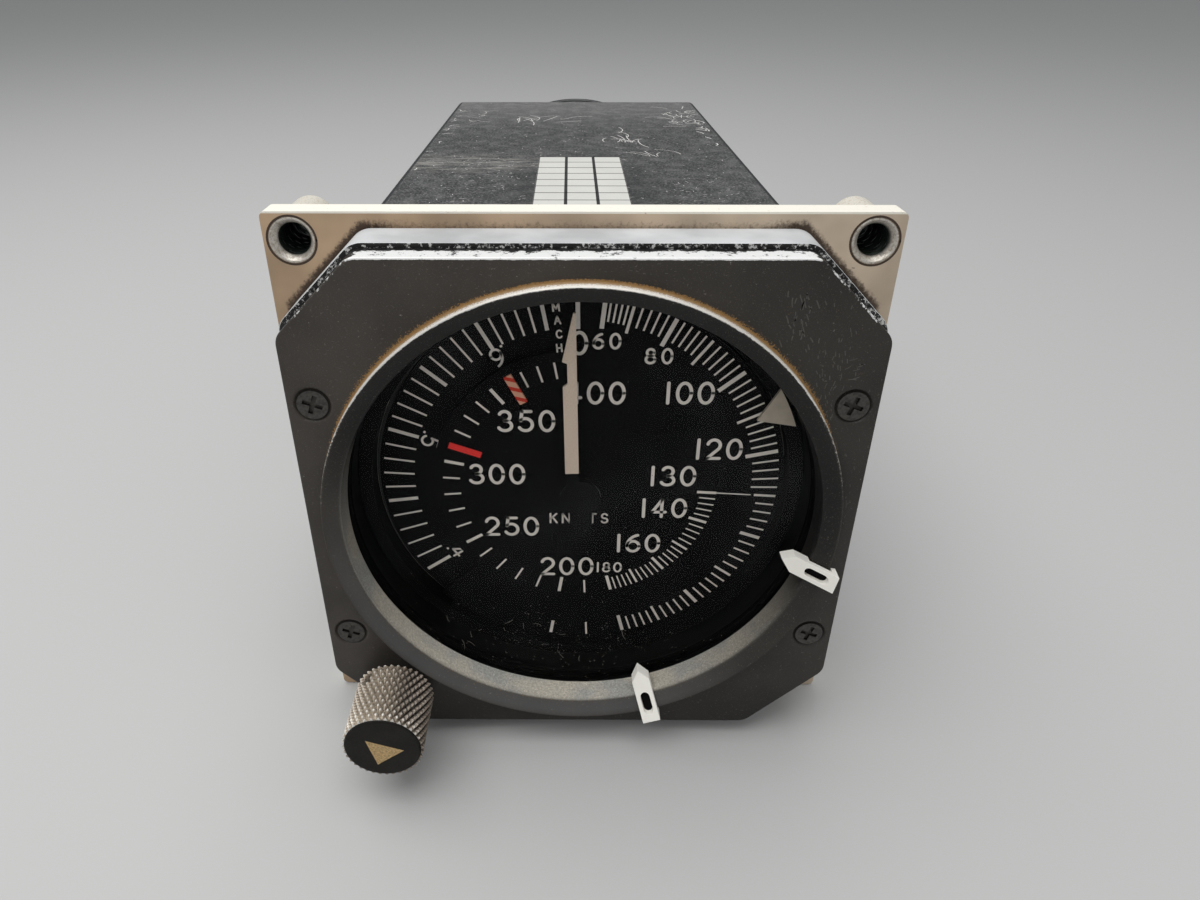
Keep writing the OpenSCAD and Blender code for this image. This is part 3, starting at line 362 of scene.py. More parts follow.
def outside_frame(t):
    """How far a point lies outside the frame's octagon: the largest of its distances past the eight sides."""
    x, _, z = t.axes
    wide, high = t.size(x), t.size(z)
    cut = (BEZEL_W + BEZEL_H) / 2 - TOP_CUT + FRAME_STEP * math.sqrt(2)
    past_side, past_top = t.minus(wide, BEZEL_W / 2 + FRAME_STEP), t.minus(high, BEZEL_H / 2 + FRAME_STEP)
    past_cut = t.times(t.minus(t.plus(wide, high), cut), math.sqrt(0.5))
    return t.larger(t.larger(past_side, past_top), past_cut)


def spot(t, centre, reach, stretch):
    """Mask that is 1 at a point in millimetres and fades to 0 at the reach, measured with each axis stretched."""
    scaled = t.vector("MULTIPLY", t.vector("SUBTRACT", t.here, centre), stretch)
    return t.ramp(t.vector("LENGTH", scaled, output=1), reach * 0.35, reach, 1, 0)


def across(t, low, high, left, right):
    """A colour that changes smoothly from left to right between two places on the x axis, in millimetres."""
    return t.mottle(t.axes[0], left, right, low, high)


# The front's cream: darker and browner than the top edge's, as painted shade
def shaded_flange_cream(t):
    return across(t, -30, 30, rgb(198, 168, 136), rgb(214, 194, 170))


def make_flange_paint():
    """Cream paint, lighter on the top edge and the back and darker and browner on the front: painted light and painted
    shade. Brown dirt lies on the front, most of all round the bezel. The opening behind the glass is black."""
    t, paint = painted("cream_flange_paint", shaded_flange_cream, rgb(150, 132, 112), chips=0.02, rough=0.55, metal=0.2)
    x, y, z = t.axes
    # Painted light: the top edge, and the back with it, get a lighter cream than the front
    clean = t.mottle(t.noise(1.6, 5), rgb(246, 241, 228), rgb(196, 178, 146), 0.62)
    near = t.ramp(outside_frame(t), 0, 1.6, 1, 0)
    corners = t.ramp(t.size(x), 22, 29, 0.3, 0.8)
    dirty = t.soil(paint, rgb(58, 40, 26), t.times(near, corners), 0.95, 1.8)
    behind = t.larger(t.above(z, FLANGE_HALF - 0.26), t.above(y, 0.3))
    opening = t.below(t.from_axis, RING_R + 0.7)
    return t.dress(t.mix(opening, t.mix(behind, dirty, clean), rgb(9, 9, 10)))


def sooty_and_shaded_paint(t):
    """Brown-grey that darkens to the right, and on the flat face toward the bottom; black in the ring's upper half,
    which is painted shade, and on the side band, whose paint is dark.
    """
    _, y, z = t.axes
    clean = across(t, 0, 26, rgb(69, 64, 59), rgb(54, 51, 47))
    low = t.times(t.ramp(z, -37, -24, 0.75, 0), t.above(y, FACE_Y - 0.2))
    # Black: painted shade inside the ring's upper half, and the side band's dark paint
    return t.mix(t.attribute("soot"), t.mix(low, clean, rgb(32, 30, 28)), rgb(9, 9, 10))


def make_cover_paint():
    """Dark grey paint, bare along worn edges, with painted shade in black inside the ring's upper half, pale dust and
    painted light on the ring's upper wall, a painted highlight on its lower bevel, rust at its root, and sand and
    painted light on the window's lower wall. Each mask is an attribute of the mesh."""
    t, paint = painted("grey_cover_paint", sooty_and_shaded_paint, rgb(236, 236, 234), edge="wear", grain=0.22, rough=0.45,
                       height=0.04, shine=0.3)
    # Painted highlight: the pale mask lightens the ring's lower bevel, which faces up to the light
    lit_lower_bevel = t.mix(t.attribute("pale"), paint, rgb(96, 98, 100))
    # Sand on the window's lower wall, with painted light where the wall faces up to the lamp
    sand = t.attribute("sand")
    tint = t.mottle(t.noise(0.12, 3, 0.5), rgb(220, 212, 196), rgb(192, 191, 184), 0.4, 0.62)
    thick = t.times(sand, t.ramp(t.noise(3, 5, 0.75), 0.35, 0.65, 0.6, 1))
    sandy = t.mix(thick, lit_lower_bevel, tint)
    grains = t.times(sand, t.ramp(t.noise(4.5, 3, 0.6), 0.63, 0.69))
    gritty = t.mix(grains, sandy, rgb(244, 240, 230))
    # Pale dust on the ring's upward-facing outer wall, which also paints the light from above
    dusty_and_lit = t.soil(gritty, rgb(234, 229, 220), t.attribute("dust"), 0.95, 2.4, 0.3)
    return t.dress(t.soil(dusty_and_lit, rgb(158, 122, 74), t.attribute("rust"), 0.9, 5, 0.14))


def make_case_paint():
    """Black paint whose top is greyed by fine dust and by painted light from above: darker beside the sticker, with
    painted shade along the rounded edges and the sides, and a broad streaky smear on the left."""
    t, paint = painted("black_case_paint", rgb(42, 43, 44), rgb(150, 149, 146), chips=-0.05, grain=0.6, shine=0.15)
    x, y, z = t.axes
    powder = t.ramp(t.noise(2, 5, 0.8), 0.48, 0.66, 0, 0.75)
    patches = t.ramp(t.noise(0.3, 5), 0.4, 0.68, 0, 0.34)
    rear = t.ramp(y, 95, CASE_LEN, 0, 0.4)
    clouded = t.mix(t.plus(patches, rear), paint, rgb(128, 128, 126))
    greyed = t.mix(powder, clouded, rgb(146, 146, 144))
    beside = spot(t, (0.5, 46, CASE_HALF), 20, (1, 0.55, 1))
    shaded = t.mix(t.times(beside, 0.5), greyed, rgb(36, 37, 38))
    streaks = t.ramp(t.noise(0.5, 5, place=t.place((0.22, 1.1, 1))), 0.42, 0.66)
    smear = t.times(spot(t, (-22, 66, CASE_HALF), 19, (0.8, 1.7, 1)), streaks)
    smeared = t.mix(t.times(smear, 0.6), shaded, rgb(164, 161, 155))
    # Painted shade: the rounded edges and the sides are darker than the top, which faces the light
    edge_shade = t.ramp(t.size(x), CASE_HALF - 1.9, CASE_HALF - 1.4)
    side = t.ramp(z, CASE_HALF - 0.8, CASE_HALF - 0.3, 1, 0)
    dark = t.mix(powder, rgb(31, 32, 34), rgb(62, 62, 62))
    return t.dress(t.mix(t.larger(edge_shade, side), smeared, dark))


def make_frame_metal(name, color, bare, ledge=False):
    """Pale bare metal, black inside the opening behind the glass. A ledge is the flat rim round the cover: dark, with
    pale chips."""
    t, shown = painted(name, color, bare, chips=-0.03, grain=0.15, rough=0.45, bare_rough=0.5)
    if ledge:
        dark = t.mottle(t.noise(1.5, 5, 0.75), rgb(26, 25, 24), rgb(226, 226, 223), 0.53, 0.6)
        shown = t.mix(t.below(t.axes[1], FRAME_Y + 0.05), shown, dark)
    inside = t.below(t.from_axis, REBATE_R + 0.3)
    return t.dress(t.mix(inside, shown, rgb(10, 10, 11)))


def make_screw_steel():
    """Grey screw heads whose cross recess is painted black as shade."""
    t = Finish("grey_screw_steel", roughness=0.45, metallic=0.3)
    head = t.mottle(t.noise(2.5), rgb(72, 69, 65), rgb(44, 42, 39))
    return t.dress(t.mottle(t.axes[1], head, rgb(10, 10, 10), FACE_Y + 0.1, FACE_Y + 0.3))


def along_hand(t, turn):
    """Distance along a hand that stands turned clockwise by an angle in degrees, and distance to its right, in
    millimetres."""
    x, _, z = t.axes
    c, s = math.cos(math.radians(turn)), math.sin(math.radians(turn))
    return t.plus(t.times(z, c), t.times(x, s)), t.minus(t.times(x, c), t.times(z, s))


def make_pointer_paint():
    """Cream on the blade, black on the hub and the tail."""
    t = Finish("pointer_paint", shine=0.06)
    along, _ = along_hand(t, -1.4)
    light = t.mottle(t.noise(5), rgb(226, 208, 190), rgb(206, 186, 166))
    return t.dress(t.mix(t.above(along, 4.36), rgb(11, 11, 12), light))


def make_limit_paint():
    """Red and salmon slanting stripes on the tip; the arm is clear."""
    t = Finish("limit_paint", shine=0.06)
    along, side = along_hand(t, -28)
    turn = t.calc("FRACT", t.calc("DIVIDE", t.plus(along, t.times(side, 0.9)), 1.75))
    stripes = t.mix(t.below(turn, 0.42), rgb(214, 160, 134), rgb(196, 60, 46))
    tip = t.above(along, 17.2)
    t.show("Alpha", t.ramp(tip, 0, 1, 0.04, 1))
    return t.dress(t.mix(tip, rgb(8, 8, 8), stripes))


def make_dark_front(name, color):
    """Metal of the movement, painted black in front of the dial."""
    t = Finish(name, roughness=0.4, metallic=0.5, shine=0.1)
    bare = t.mottle(t.noise(3), color, dim(color, 0.8))
    return t.dress(t.mix(t.below(t.axes[1], MACH_Y + 1.5), bare, rgb(6, 6, 6)))


def make_glass():
    """Clear pane: it mirrors by the Fresnel share of the light, and shows what lies behind it for the rest."""
    t = Finish("window_pane", (0.9, 0.92, 0.93, 1), 0.04, 1)
    mirror = t.add("ShaderNodeFresnel", {"IOR": 1.09}).outputs[0]
    film = t.ramp(t.noise(0.05, 5, 0.6), 0.45, 0.75, 0, 0.006)
    t.show("Alpha", t.calc("ADD", mirror, film, clamp=True))
    t.show("Roughness", t.ramp(t.noise(0.4, 4, 0.6), 0.3, 0.7, 0.03, 0.12))
    return t.material


def make_knurl_metal():
    """Grey-brown pyramids with dark grooves between them, bright tips that are worn and carry a painted highlight on
    the lit side, and pale sand with painted light on that side.
    """
    t = Finish("knurled_metal", metallic=0.25)
    tips, grains = t.attribute("wear"), t.noise(3)
    base = t.mottle(grains, rgb(146, 132, 118), rgb(108, 96, 84))
    grooved = t.mottle(tips, rgb(30, 25, 20), base, 0.1, 0.5)
    worn = t.times(t.ramp(tips, 0.6, 1), t.ramp(grains, 0.3, 0.55, 0.35, 1))
    # Pale sand, which also paints the light on the knob's lit side
    sand = t.times(t.attribute("dust"), t.ramp(grains, 0.35, 0.6, 0.45, 1))
    sandy = t.mix(sand, grooved, rgb(198, 184, 164))
    t.show("Roughness", t.ramp(grains, 0.3, 0.7, 0.3, 0.5))
    return t.dress(t.mix(worn, sandy, rgb(246, 243, 236)))


def make_thread_steel():
    """Bright steel in front, a faintly green bore below the countersink that is painted darker with depth as shade,
    and cream behind the flange.
    """
    t = Finish("nut_steel", metallic=0.4)
    x, y, z = t.axes
    radius = t.length(*[t.minus(t.size(v), NUT_AT) for v in (x, z)])
    grains = t.noise(2.2)
    bright = t.mottle(grains, rgb(210, 204, 194), rgb(158, 146, 132), 0.4)
    # Painted shade: the bore darkens with depth
    bore_in_shade = t.mottle(y, bright, rgb(34, 42, 37), 0.6, 1.2)
    outside = t.times(t.above(radius, NUT_BORE + 0.5), t.above(y, 0.6))
    cream = t.mottle(grains, rgb(244, 238, 224), rgb(206, 192, 168), 0.5)
    t.show("Roughness", t.ramp(grains, 0.3, 0.7, 0.25, 0.5))
    return t.dress(t.mix(outside, bore_in_shade, cream))


STEEL, BRASS = rgb(185, 185, 183), rgb(196, 160, 88)
flange_paint, cover_paint, case_paint = make_flange_paint(), make_cover_paint(), make_case_paint()
pointer_paint, limit_paint, window_pane = make_pointer_paint(), make_limit_paint(), make_glass()
knurl_metal, thread_steel, screw_steel = make_knurl_metal(), make_thread_steel(), make_screw_steel()
frame_metal = make_frame_metal("bare_frame_metal", rgb(208, 210, 211), rgb(128, 126, 124), ledge=True)
frame_edge = make_frame_metal("worn_frame_edge", rgb(236, 238, 240), rgb(120, 116, 112))
staff_steel, tube_brass = make_dark_front("staff_steel", STEEL), make_dark_front("tube_brass", BRASS)
chipped_edge = painted("chipped_edge", rgb(238, 232, 218), rgb(120, 98, 74), chips=0.03)[0].material
case_edge = painted("scuffed_case_edge", rgb(78, 78, 78), rgb(214, 210, 202), chips=0.12, metal=0.2)[0].material
bug_plastic = plain("off_white_plastic", rgb(252, 249, 240), 0.45, 0, 0.05, 0.8, 0.02)
print_white = plain("dial_print", rgb(234, 226, 216), 0.6, 0, 0.12, 2)
print_red = plain("red_print", rgb(246, 42, 34), 0.6, 0, 0.1, 2)
bug_cream = plain("speed_bug_paint", rgb(196, 184, 166), 0.6, 0, 0.12, 2)
dial_black = plain("dial_black", rgb(10, 10, 11), 0.65, 0, 0.3, 1, shine=0.06)
black_plastic = plain("black_plastic", rgb(11, 11, 12), 0.6, 0, 0.3, 1, 0.02, 0.06)
cap_black = plain("knob_face_black", rgb(30, 28, 25), 0.6, 0, 0.4, 1.6, 0.03, 0.2)
arrow_tan = plain("arrow_paint", rgb(214, 180, 126), 0.7, 0, 0.55, 14, 0.05)
rubber = plain("seal_rubber", rgb(20, 20, 20), 0.7, 0, 0.2, 1, shine=0.1)
dark_steel = plain("blackened_steel", rgb(60, 56, 52), 0.45, 0.4, 0.4, 2.5, 0.02)
steel = plain("polished_steel", STEEL, 0.28, 1, 0.15, 2)
brass = plain("satin_brass", BRASS, 0.32, 1, 0.2, 1.5)
bronze = plain("spring_bronze", rgb(178, 128, 78), 0.35, 1, 0.2, 1.5)
plate_metal = plain("plate_aluminium", rgb(190, 190, 186), 0.38, 1, 0.12, 1.5)
fitting_metal = plain("fitting_aluminium", rgb(172, 176, 184), 0.35, 0.9, 0.15, 1.5)
plug_metal = plain("olive_plating", rgb(122, 122, 88), 0.4, 0.7, 0.25, 1.5)
label_white = plain("plain_sticker", rgb(212, 211, 205), 0.6, 0, 0.06, 0.6)
label_ink = plain("sticker_lines", rgb(28, 28, 28), 0.6, 0, 0.2, 2)
scratch_white = plain("bare_scratches", rgb(228, 226, 222), 0.5, 0, 0.2, 2)
scuff_grey = plain("rubbed_paint", rgb(84, 81, 76), 0.5, 0, 0.35, 3)
# Dark brown for the seam round each nut, which is also a painted shadow
seam_shadow_brown = plain("nut_seam_shadow", rgb(70, 55, 42), 0.7, 0, 0.3, 2)
dust_grey = plain("glass_dust", rgb(128, 124, 117), 0.8, 0, 0.4, 2)

# CAD nodes that keep their mesh and get one material
for material, names in (
        (staff_steel, "hand_staff"), (tube_brass, "limit_tube dial_bush"),
        (steel, "knob_shaft pillar_screws airspeed_arbor altitude_arbor airspeed_post altitude_post bracket_screws"),
        (brass, "knob_pinion shaft_bush mach_gear hairspring_stud front_bearings rear_bearings front_posts "
                "plate_pillars airspeed_sector altitude_sectors connector_pins"),
        (bronze, "hairspring airspeed_capsule altitude_capsule pitot_line"),
        (plate_metal, "front_plate rear_plate airspeed_bracket altitude_bracket"),
        (rubber, "bezel_seal glass_seal shaft_seal case_seal rear_seal"),
        (dial_black, "dial_plate mach_disc"), (black_plastic, "speed_bug_ring"), (bug_cream, "speed_bug"),
        (pointer_paint, "airspeed_pointer"), (limit_paint, "limit_pointer"), (window_pane, "window_glass"),
        (label_white, "data_label"), (dark_steel, "knob_set_screw")):
    for node in names.split():
        nodes[node].data.materials.clear()
        nodes[node].data.materials.append(material)


# Bezel

def octagon(inset, steps):
    """Outline of the bezel moved in by inset, as (x, z) points clockwise: each corner is an arc tangent to its two
    sides."""
    w, h, r = BEZEL_W / 2 - inset, BEZEL_H / 2 - inset, BEZEL_CORNER - inset
    t, b = TOP_CUT - inset * (2 - math.sqrt(2)), BOTTOM_CUT - inset * (2 - math.sqrt(2))
    p = np.array([[-w + t, h], [w - t, h], [w, h - t], [w, -h + b], [w - b, -h], [-w + b, -h], [-w, -h + b],
                  [-w, h - t]])
    u, v = (way / np.linalg.norm(way, axis=1, keepdims=True) for way in (np.roll(p, 1, 0) - p, np.roll(p, -1, 0) - p))
    half = np.arccos((u * v).sum(1)) / 2
    bisector = (u + v) / np.linalg.norm(u + v, axis=1, keepdims=True)
    middle = p + bisector * (r / np.sin(half))[:, None]
    spread = np.linspace(-1, 1, steps)[None] * (np.pi / 2 - half)[:, None]
    outward = np.arctan2(-bisector[:, 1], -bisector[:, 0])[:, None] - spread
    return (middle[:, None] + r * np.stack([np.cos(outward), np.sin(outward)], -1)).reshape(-1, 2)


def octagon_radius(angle, inset):
    """Distance from the axis to the outline in each direction, an angle clockwise from the top in radians."""
    p = octagon(inset, 24)
    sides = np.concatenate([np.linspace(a, b, 40, endpoint=False) for a, b in zip(p, np.roll(p, -1, 0))])
    a = np.arctan2(sides[:, 0], sides[:, 1]) % (2 * np.pi)
    order = np.argsort(a)
    return np.interp(angle, a[order], np.hypot(sides[order, 0], sides[order, 1]), period=2 * np.pi)


def make_bezel_cover():
    """Front cover and ring as one closed surface: for each direction t round the axis, a profile runs from the glass's
    seat up the window's wall, over the ring's bevel, across the flat face to the octagon, round its edge and home along
    the back. The face sinks round each screw by a smooth step of the distance to the screw's axis. Each row of the
    profile is a radius, a depth and the masks that are not 0 there."""
    t = np.linspace(0, 2 * np.pi, 1440, endpoint=False)
    top, shoulder, crown = (smooth_step(np.cos(t), *span) for span in ((0.79, 0.83), (0.52, 0.68), (0.1, 0.6)))
    up, down = np.clip(1.4 * np.cos(t), 0, 1), np.clip(facing(t, 200) + 0.08, 0, 1)
    # Painted shade: the ring's inner walls are painted black toward the top and the right, where less light falls
    soot, low = smooth_step(facing(t, 15), -0.35, 0.3), smooth_step(-facing(t, 25), 0.2, 0.95)
    lip_y, inner, outer = RING_Y + RING_BEVEL, RING_R + 0.3, octagon_radius(t, EDGE_BEVEL + 0.5)
    rows = [
        # The wall's lower side carries sand and painted light from above
        (WINDOW_R, GLASS_Y, dict(soot=soot, sand=0.95 * down)),
        (WINDOW_R, lip_y + 1.2, dict(soot=soot, sand=0.95 * down)),
        (WINDOW_R, lip_y + 0.25, dict(wear=0.05, soot=soot, sand=0.85 * down)),
        # The pale values in these rows are a painted highlight on the lower bevel, which faces up
        (WINDOW_R + 0.1, lip_y - 0.1 * RING_SLOPE, dict(wear=0.25, soot=0.9 * soot, sand=0.5 * down, pale=0.3 * low)),
        # The share of 0.5 * low on this row is a painted shadow: a dark brown line along the lip below the window's
        # wall
        (WINDOW_R + 0.3, lip_y - 0.3 * RING_SLOPE,
         dict(wear=0.05, soot=np.maximum(0.95 * soot, 0.5 * low), rust=0.1 * low, sand=0.1 * down)),
        (WINDOW_R + 0.5, lip_y - 0.5 * RING_SLOPE, dict(wear=0.05, soot=0.95 * soot, rust=0.05 * low, pale=0.4 * low)),
        (RING_R - 0.9, RING_Y + 0.9 * RING_SLOPE, dict(wear=0.05, soot=0.9 * soot, pale=0.45 * low)),
        (RING_R - 0.35, RING_Y + 0.35 * RING_SLOPE, dict(wear=0.1 + 0.2 * up, soot=0.8 * soot, pale=0.3 * low)),
        # The dust values on the ring's upper outer wall are also painted light from above
        (RING_R - 0.1, RING_Y + 0.1, dict(wear=0.2 + 0.65 * up, dust=0.5 * up)),
        (RING_R, RING_Y + 0.3, dict(wear=0.2 + 0.3 * up, dust=0.85 * up, rust=0.1 * crown)),
        (RING_R, RING_Y + 1, dict(wear=0.1, dust=0.9 * up, rust=0.2 * crown)),
        (RING_R, FACE_Y - 0.4, dict(dust=0.6 * up, rust=0.46 * crown)),
        (RING_R + 0.07, FACE_Y - 0.07, dict(dust=0.2 * up, rust=0.5 * crown)),
        (inner, FACE_Y, dict(rust=0.25 * crown))]
    for share in np.linspace(0.06, 0.97, 36):
        r = inner + (outer - inner) * share
        away = np.min([np.hypot(r * np.sin(t) - x, r * np.cos(t) - z) for x, z in SCREWS], axis=0)
        rows.append((r, FACE_Y + SCREW_SINK * (1 - smooth_step(away, SCREW_FLOOR_R, SCREW_RIM_R)), {}))
    rows += [(outer, FACE_Y, dict(wear=0.05)),
             (octagon_radius(t, EDGE_BEVEL + 0.15), FACE_Y, dict(wear=0.1 + 0.15 * shoulder))]
    for a in np.linspace(0, np.pi / 2, 6):
        rows.append((octagon_radius(t, EDGE_BEVEL * (1 - math.sin(a))), FACE_Y + EDGE_BEVEL * (1 - math.cos(a)),
                     dict(wear=0.2 + 0.35 * shoulder + 0.3 * top)))
    for y, diagonal, flat in ((FACE_Y + 0.5, 0.25, 0.44), (FACE_Y + 2.5, 0.2, 0.38), (FACE_Y + 2.95, 0.2, 0.18),
                              (FRAME_Y - 0.4, 0.22, 0.12), (FRAME_Y, 0.25, 0.08)):
        rows.append((octagon_radius(t, 0), y, dict(wear=0.12 + diagonal * shoulder + flat * top, soot=1)))
    rows += [(REBATE_R, FRAME_Y, {}), (REBATE_R, GLASS_Y, {})]
    r, y, given = zip(*rows)
    masks = {label: [row.get(label, 0) for row in given] for label in ("wear", "dust", "soot", "rust", "sand", "pale")}
    r, y, *masked = (np.stack([np.broadcast_to(v, t.shape) for v in part]) for part in (r, y, *masks.values()))
    piece = put_mesh("bezel_cover_painted", *revolve(r, y, t), cover_paint, "black_paint",
                     **dict(zip(masks, masked)))
    piece.data.set_sharp_from_angle(angle=SHARP_EDGE)
    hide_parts("bezel_cover")


make_bezel_cover()
for copied in (
        ("bezel_frame", frame_metal, "bare_aluminium", 0.2, 2, frame_edge),
        ("mounting_flange", flange_paint, "flange_paint", 0.25, 2, chipped_edge),
        ("bezel_screws", screw_steel, "screw_steel", 0.12, 3),
        ("reference_bug_right", bug_plastic, "bug_plastic", 0.14, 3, None, "right_bug"),
        ("reference_bug_lower", bug_plastic, "bug_plastic", 0.14, 3, None, "lower_bug"),
        ("case_body", case_paint, "case_paint", 0.35, 2, case_edge),
        ("case_screws", steel, "steel", 0.1, 2),
        ("rear_cover", case_paint, "case_paint", 0.3, 2, case_edge),
        ("rear_screws", steel, "steel", 0.08, 2),
        ("pitot_port", fitting_metal, "fitting_metal", 0.3, 2),
        ("static_port", fitting_metal, "fitting_metal", 0.3, 2),
        ("electrical_connector", plug_metal, "plug_metal", 0.25, 2),
        ("knob_cap", cap_black, "black_plastic", 0.25, 3, None, "setting_knob")):
    smooth_copy(*copied)


def fill_bug_slot(name, body, angle):
    """The dark strip seen in a reference bug's slot: a flat band that follows the ring's bevel, just above it."""
    r, side = np.array([WINDOW_R - 0.4, WINDOW_R, RING_R]), np.array([-0.95, 0.95])
    flat = r[:, None, None] * polar(1, angle) + side[None, :, None] * polar(1, angle + 90)
    y = RING_Y - 0.5 * BUG_GAP + (RING_R - r) * RING_BEVEL / (RING_R - WINDOW_R)
    points = np.stack([flat[..., 0], np.repeat(y[:, None], 2, 1), flat[..., 1]], -1).reshape(-1, 3)
    put_mesh(name, points, grid_faces(3, 2), black_plastic, "black_plastic", body, smooth=False)


fill_bug_slot("right_bug_strip", "right_bug", RIGHT_BUG)
fill_bug_slot("lower_bug_strip", "lower_bug", LOWER_BUG)


# Mounting nuts

NUT_CENTRES = np.array([(x, z) for x in (-NUT_AT, NUT_AT) for z in (-NUT_AT, NUT_AT)])


def make_nuts():
    """Four nuts: a turned profile with a countersink, and a bore whose radius follows a screw line,
    r = r0 + d tri(y / pitch - t / 2 pi)."""
    t = np.linspace(0, 2 * np.pi, 64, endpoint=False)
    y_bore = np.linspace(0.95, NUT_BACK - 0.2, 60)
    outside_r, outside_y = zip(
        (NUT_BORE + 0.7, 0.05), (NUT_BORE + 0.8, 0), (NUT_SLEEVE - 0.1, 0), (NUT_SLEEVE, 0.1),
        (NUT_SLEEVE, FLANGE_T), (NUT_BODY, FLANGE_T), (NUT_BODY, NUT_BACK - 0.8), (NUT_BODY - 0.8, NUT_BACK),
        (NUT_BORE + 0.15, NUT_BACK))
    turn = (y_bore[:, None] / THREAD_PITCH - t / (2 * np.pi)) % 1
    bore = NUT_BORE + THREAD_DEPTH * np.abs(2 * turn - 1)
    r = np.concatenate([spread_out(outside_r, t), bore[::-1]])
    y = np.concatenate([spread_out(outside_y, t), spread_out(y_bore[::-1], t)])
    one, faces = revolve(r, y, t)
    points = (one[None] + np.insert(NUT_CENTRES, 1, 0, axis=1)[:, None]).reshape(-1, 3)
    every = (faces[None] + (np.arange(4) * len(one))[:, None, None]).reshape(-1, 4)
    piece = put_mesh("mounting_nuts_threaded", points, every, thread_steel, "nut_steel")
    piece.data.set_sharp_from_angle(angle=SHARP_EDGE)
    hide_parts("mounting_nuts")


make_nuts()


# Knob

def make_knob():
    """Knurled knob: over its length the radius is r = R - d (1 - c), where the crest c is the lower of two triangle
    waves that count the crossing screw lines. Its toothed rim stands round the cap, a bore joins the ends, and the set
    screw's hole is dished in."""
    front, rim, shell, bore = KNOB_FRONT + KNOB_CAP_T, KNOB_FRONT + 0.3, KNOB_CAP_R + 0.03, 1.5
    t = np.linspace(0, 2 * np.pi, KNURL_AROUND * 9, endpoint=False)
    f = np.linspace(0, 1, KNURL_ALONG * 18)[:, None]
    y = rim + (KNOB_BACK - 0.35 - rim) * f
    turns, lines = t[None] / (2 * np.pi) * KNURL_AROUND, f * KNURL_ALONG
    crest = np.minimum(np.abs(2 * ((turns + lines) % 1) - 1), np.abs(2 * ((turns - lines) % 1) - 1))
    crest = np.clip(crest * 1.35, 0, 1)
    r = np.maximum(KNOB_R - KNURL_DEPTH * (1 - crest), np.where(y < front + 0.1, shell + 0.03, 0))
    from_hole = np.hypot((t[None] - math.radians(SET_SCREW_TURN)) * KNOB_R, y - (KNOB_BACK - 1.8))
    hole = from_hole < SET_SCREW_R
    r = np.where(hole, KNOB_R - SET_SCREW_DEPTH, r)
    # Painted light: sunny is the knob's lit side and over its upper side; tips and sand are painted brighter there and
    # near the front rim
    sunny, over = smooth_step(facing(t, 318), 0.2, 0.9), smooth_step(facing(t, 345), -0.2, 0.5)
    near = np.exp(-9 * f)
    worn = np.where(hole, 0, crest * np.clip(0.74 + 0.12 * sunny + 0.5 * near * over, 0, 1))
    sand = np.where(hole, 0, np.clip(0.62 * sunny + 0.35 * near * over, 0, 1))
    back_r, back_y = (KNOB_R - 0.45, KNOB_R - 0.8, bore), (KNOB_BACK - 0.12, KNOB_BACK, KNOB_BACK)
    radius = np.concatenate([spread_out((bore, shell, shell), t), r, spread_out(back_r, t)])
    depth = np.concatenate([spread_out((front, front, rim), t), spread_out(y[:, 0], t), spread_out(back_y, t)])
    # The front rim is painted brighter toward the top: wear and a painted highlight
    wear = np.concatenate([np.repeat(0.5 + 0.5 * over[None], 3, 0), worn, np.full((3, len(t)), 0.2)])
    dust = np.concatenate([np.repeat(0.5 * over[None], 3, 0), sand, np.zeros((3, len(t)))])
    piece = put_mesh("knob_knurled", *revolve(radius, depth, t, KNOB), knurl_metal, "knob_metal", "setting_knob",
                     smooth=False, wear=wear, dust=dust)
    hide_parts("knob")


make_knob()
arrow = np.array([(-30.96, -28.22), (-29.65, -33.24), (-25.53, -30.19)])
arrow_points = np.insert(arrow, 1, KNOB_FRONT - PRINT_LIFT, axis=1)
put_mesh("knob_arrow", arrow_points, [(0, 1, 2)], arrow_tan, "bug_plastic", "setting_knob", smooth=False)


# Printed marks: every stroke is a flat ribbon with round ends, carried along its path

def arc(cx, cy, rx, ry, start, end, steps=18):
    """Points of an ellipse's arc from one angle to another, in degrees."""
    a = np.radians(np.linspace(start, end, steps))
    return np.stack([cx + rx * np.cos(a), cy + ry * np.sin(a)], -1)


def line(*points):
    """Straight strokes between neighbouring points."""
    return [np.linspace(a, b, 4) for a, b in zip(points[:-1], points[1:])]


def curve(*pieces):
    """One stroke through all the points of its pieces."""
    return [np.concatenate([np.asarray(p, float) for p in pieces])]


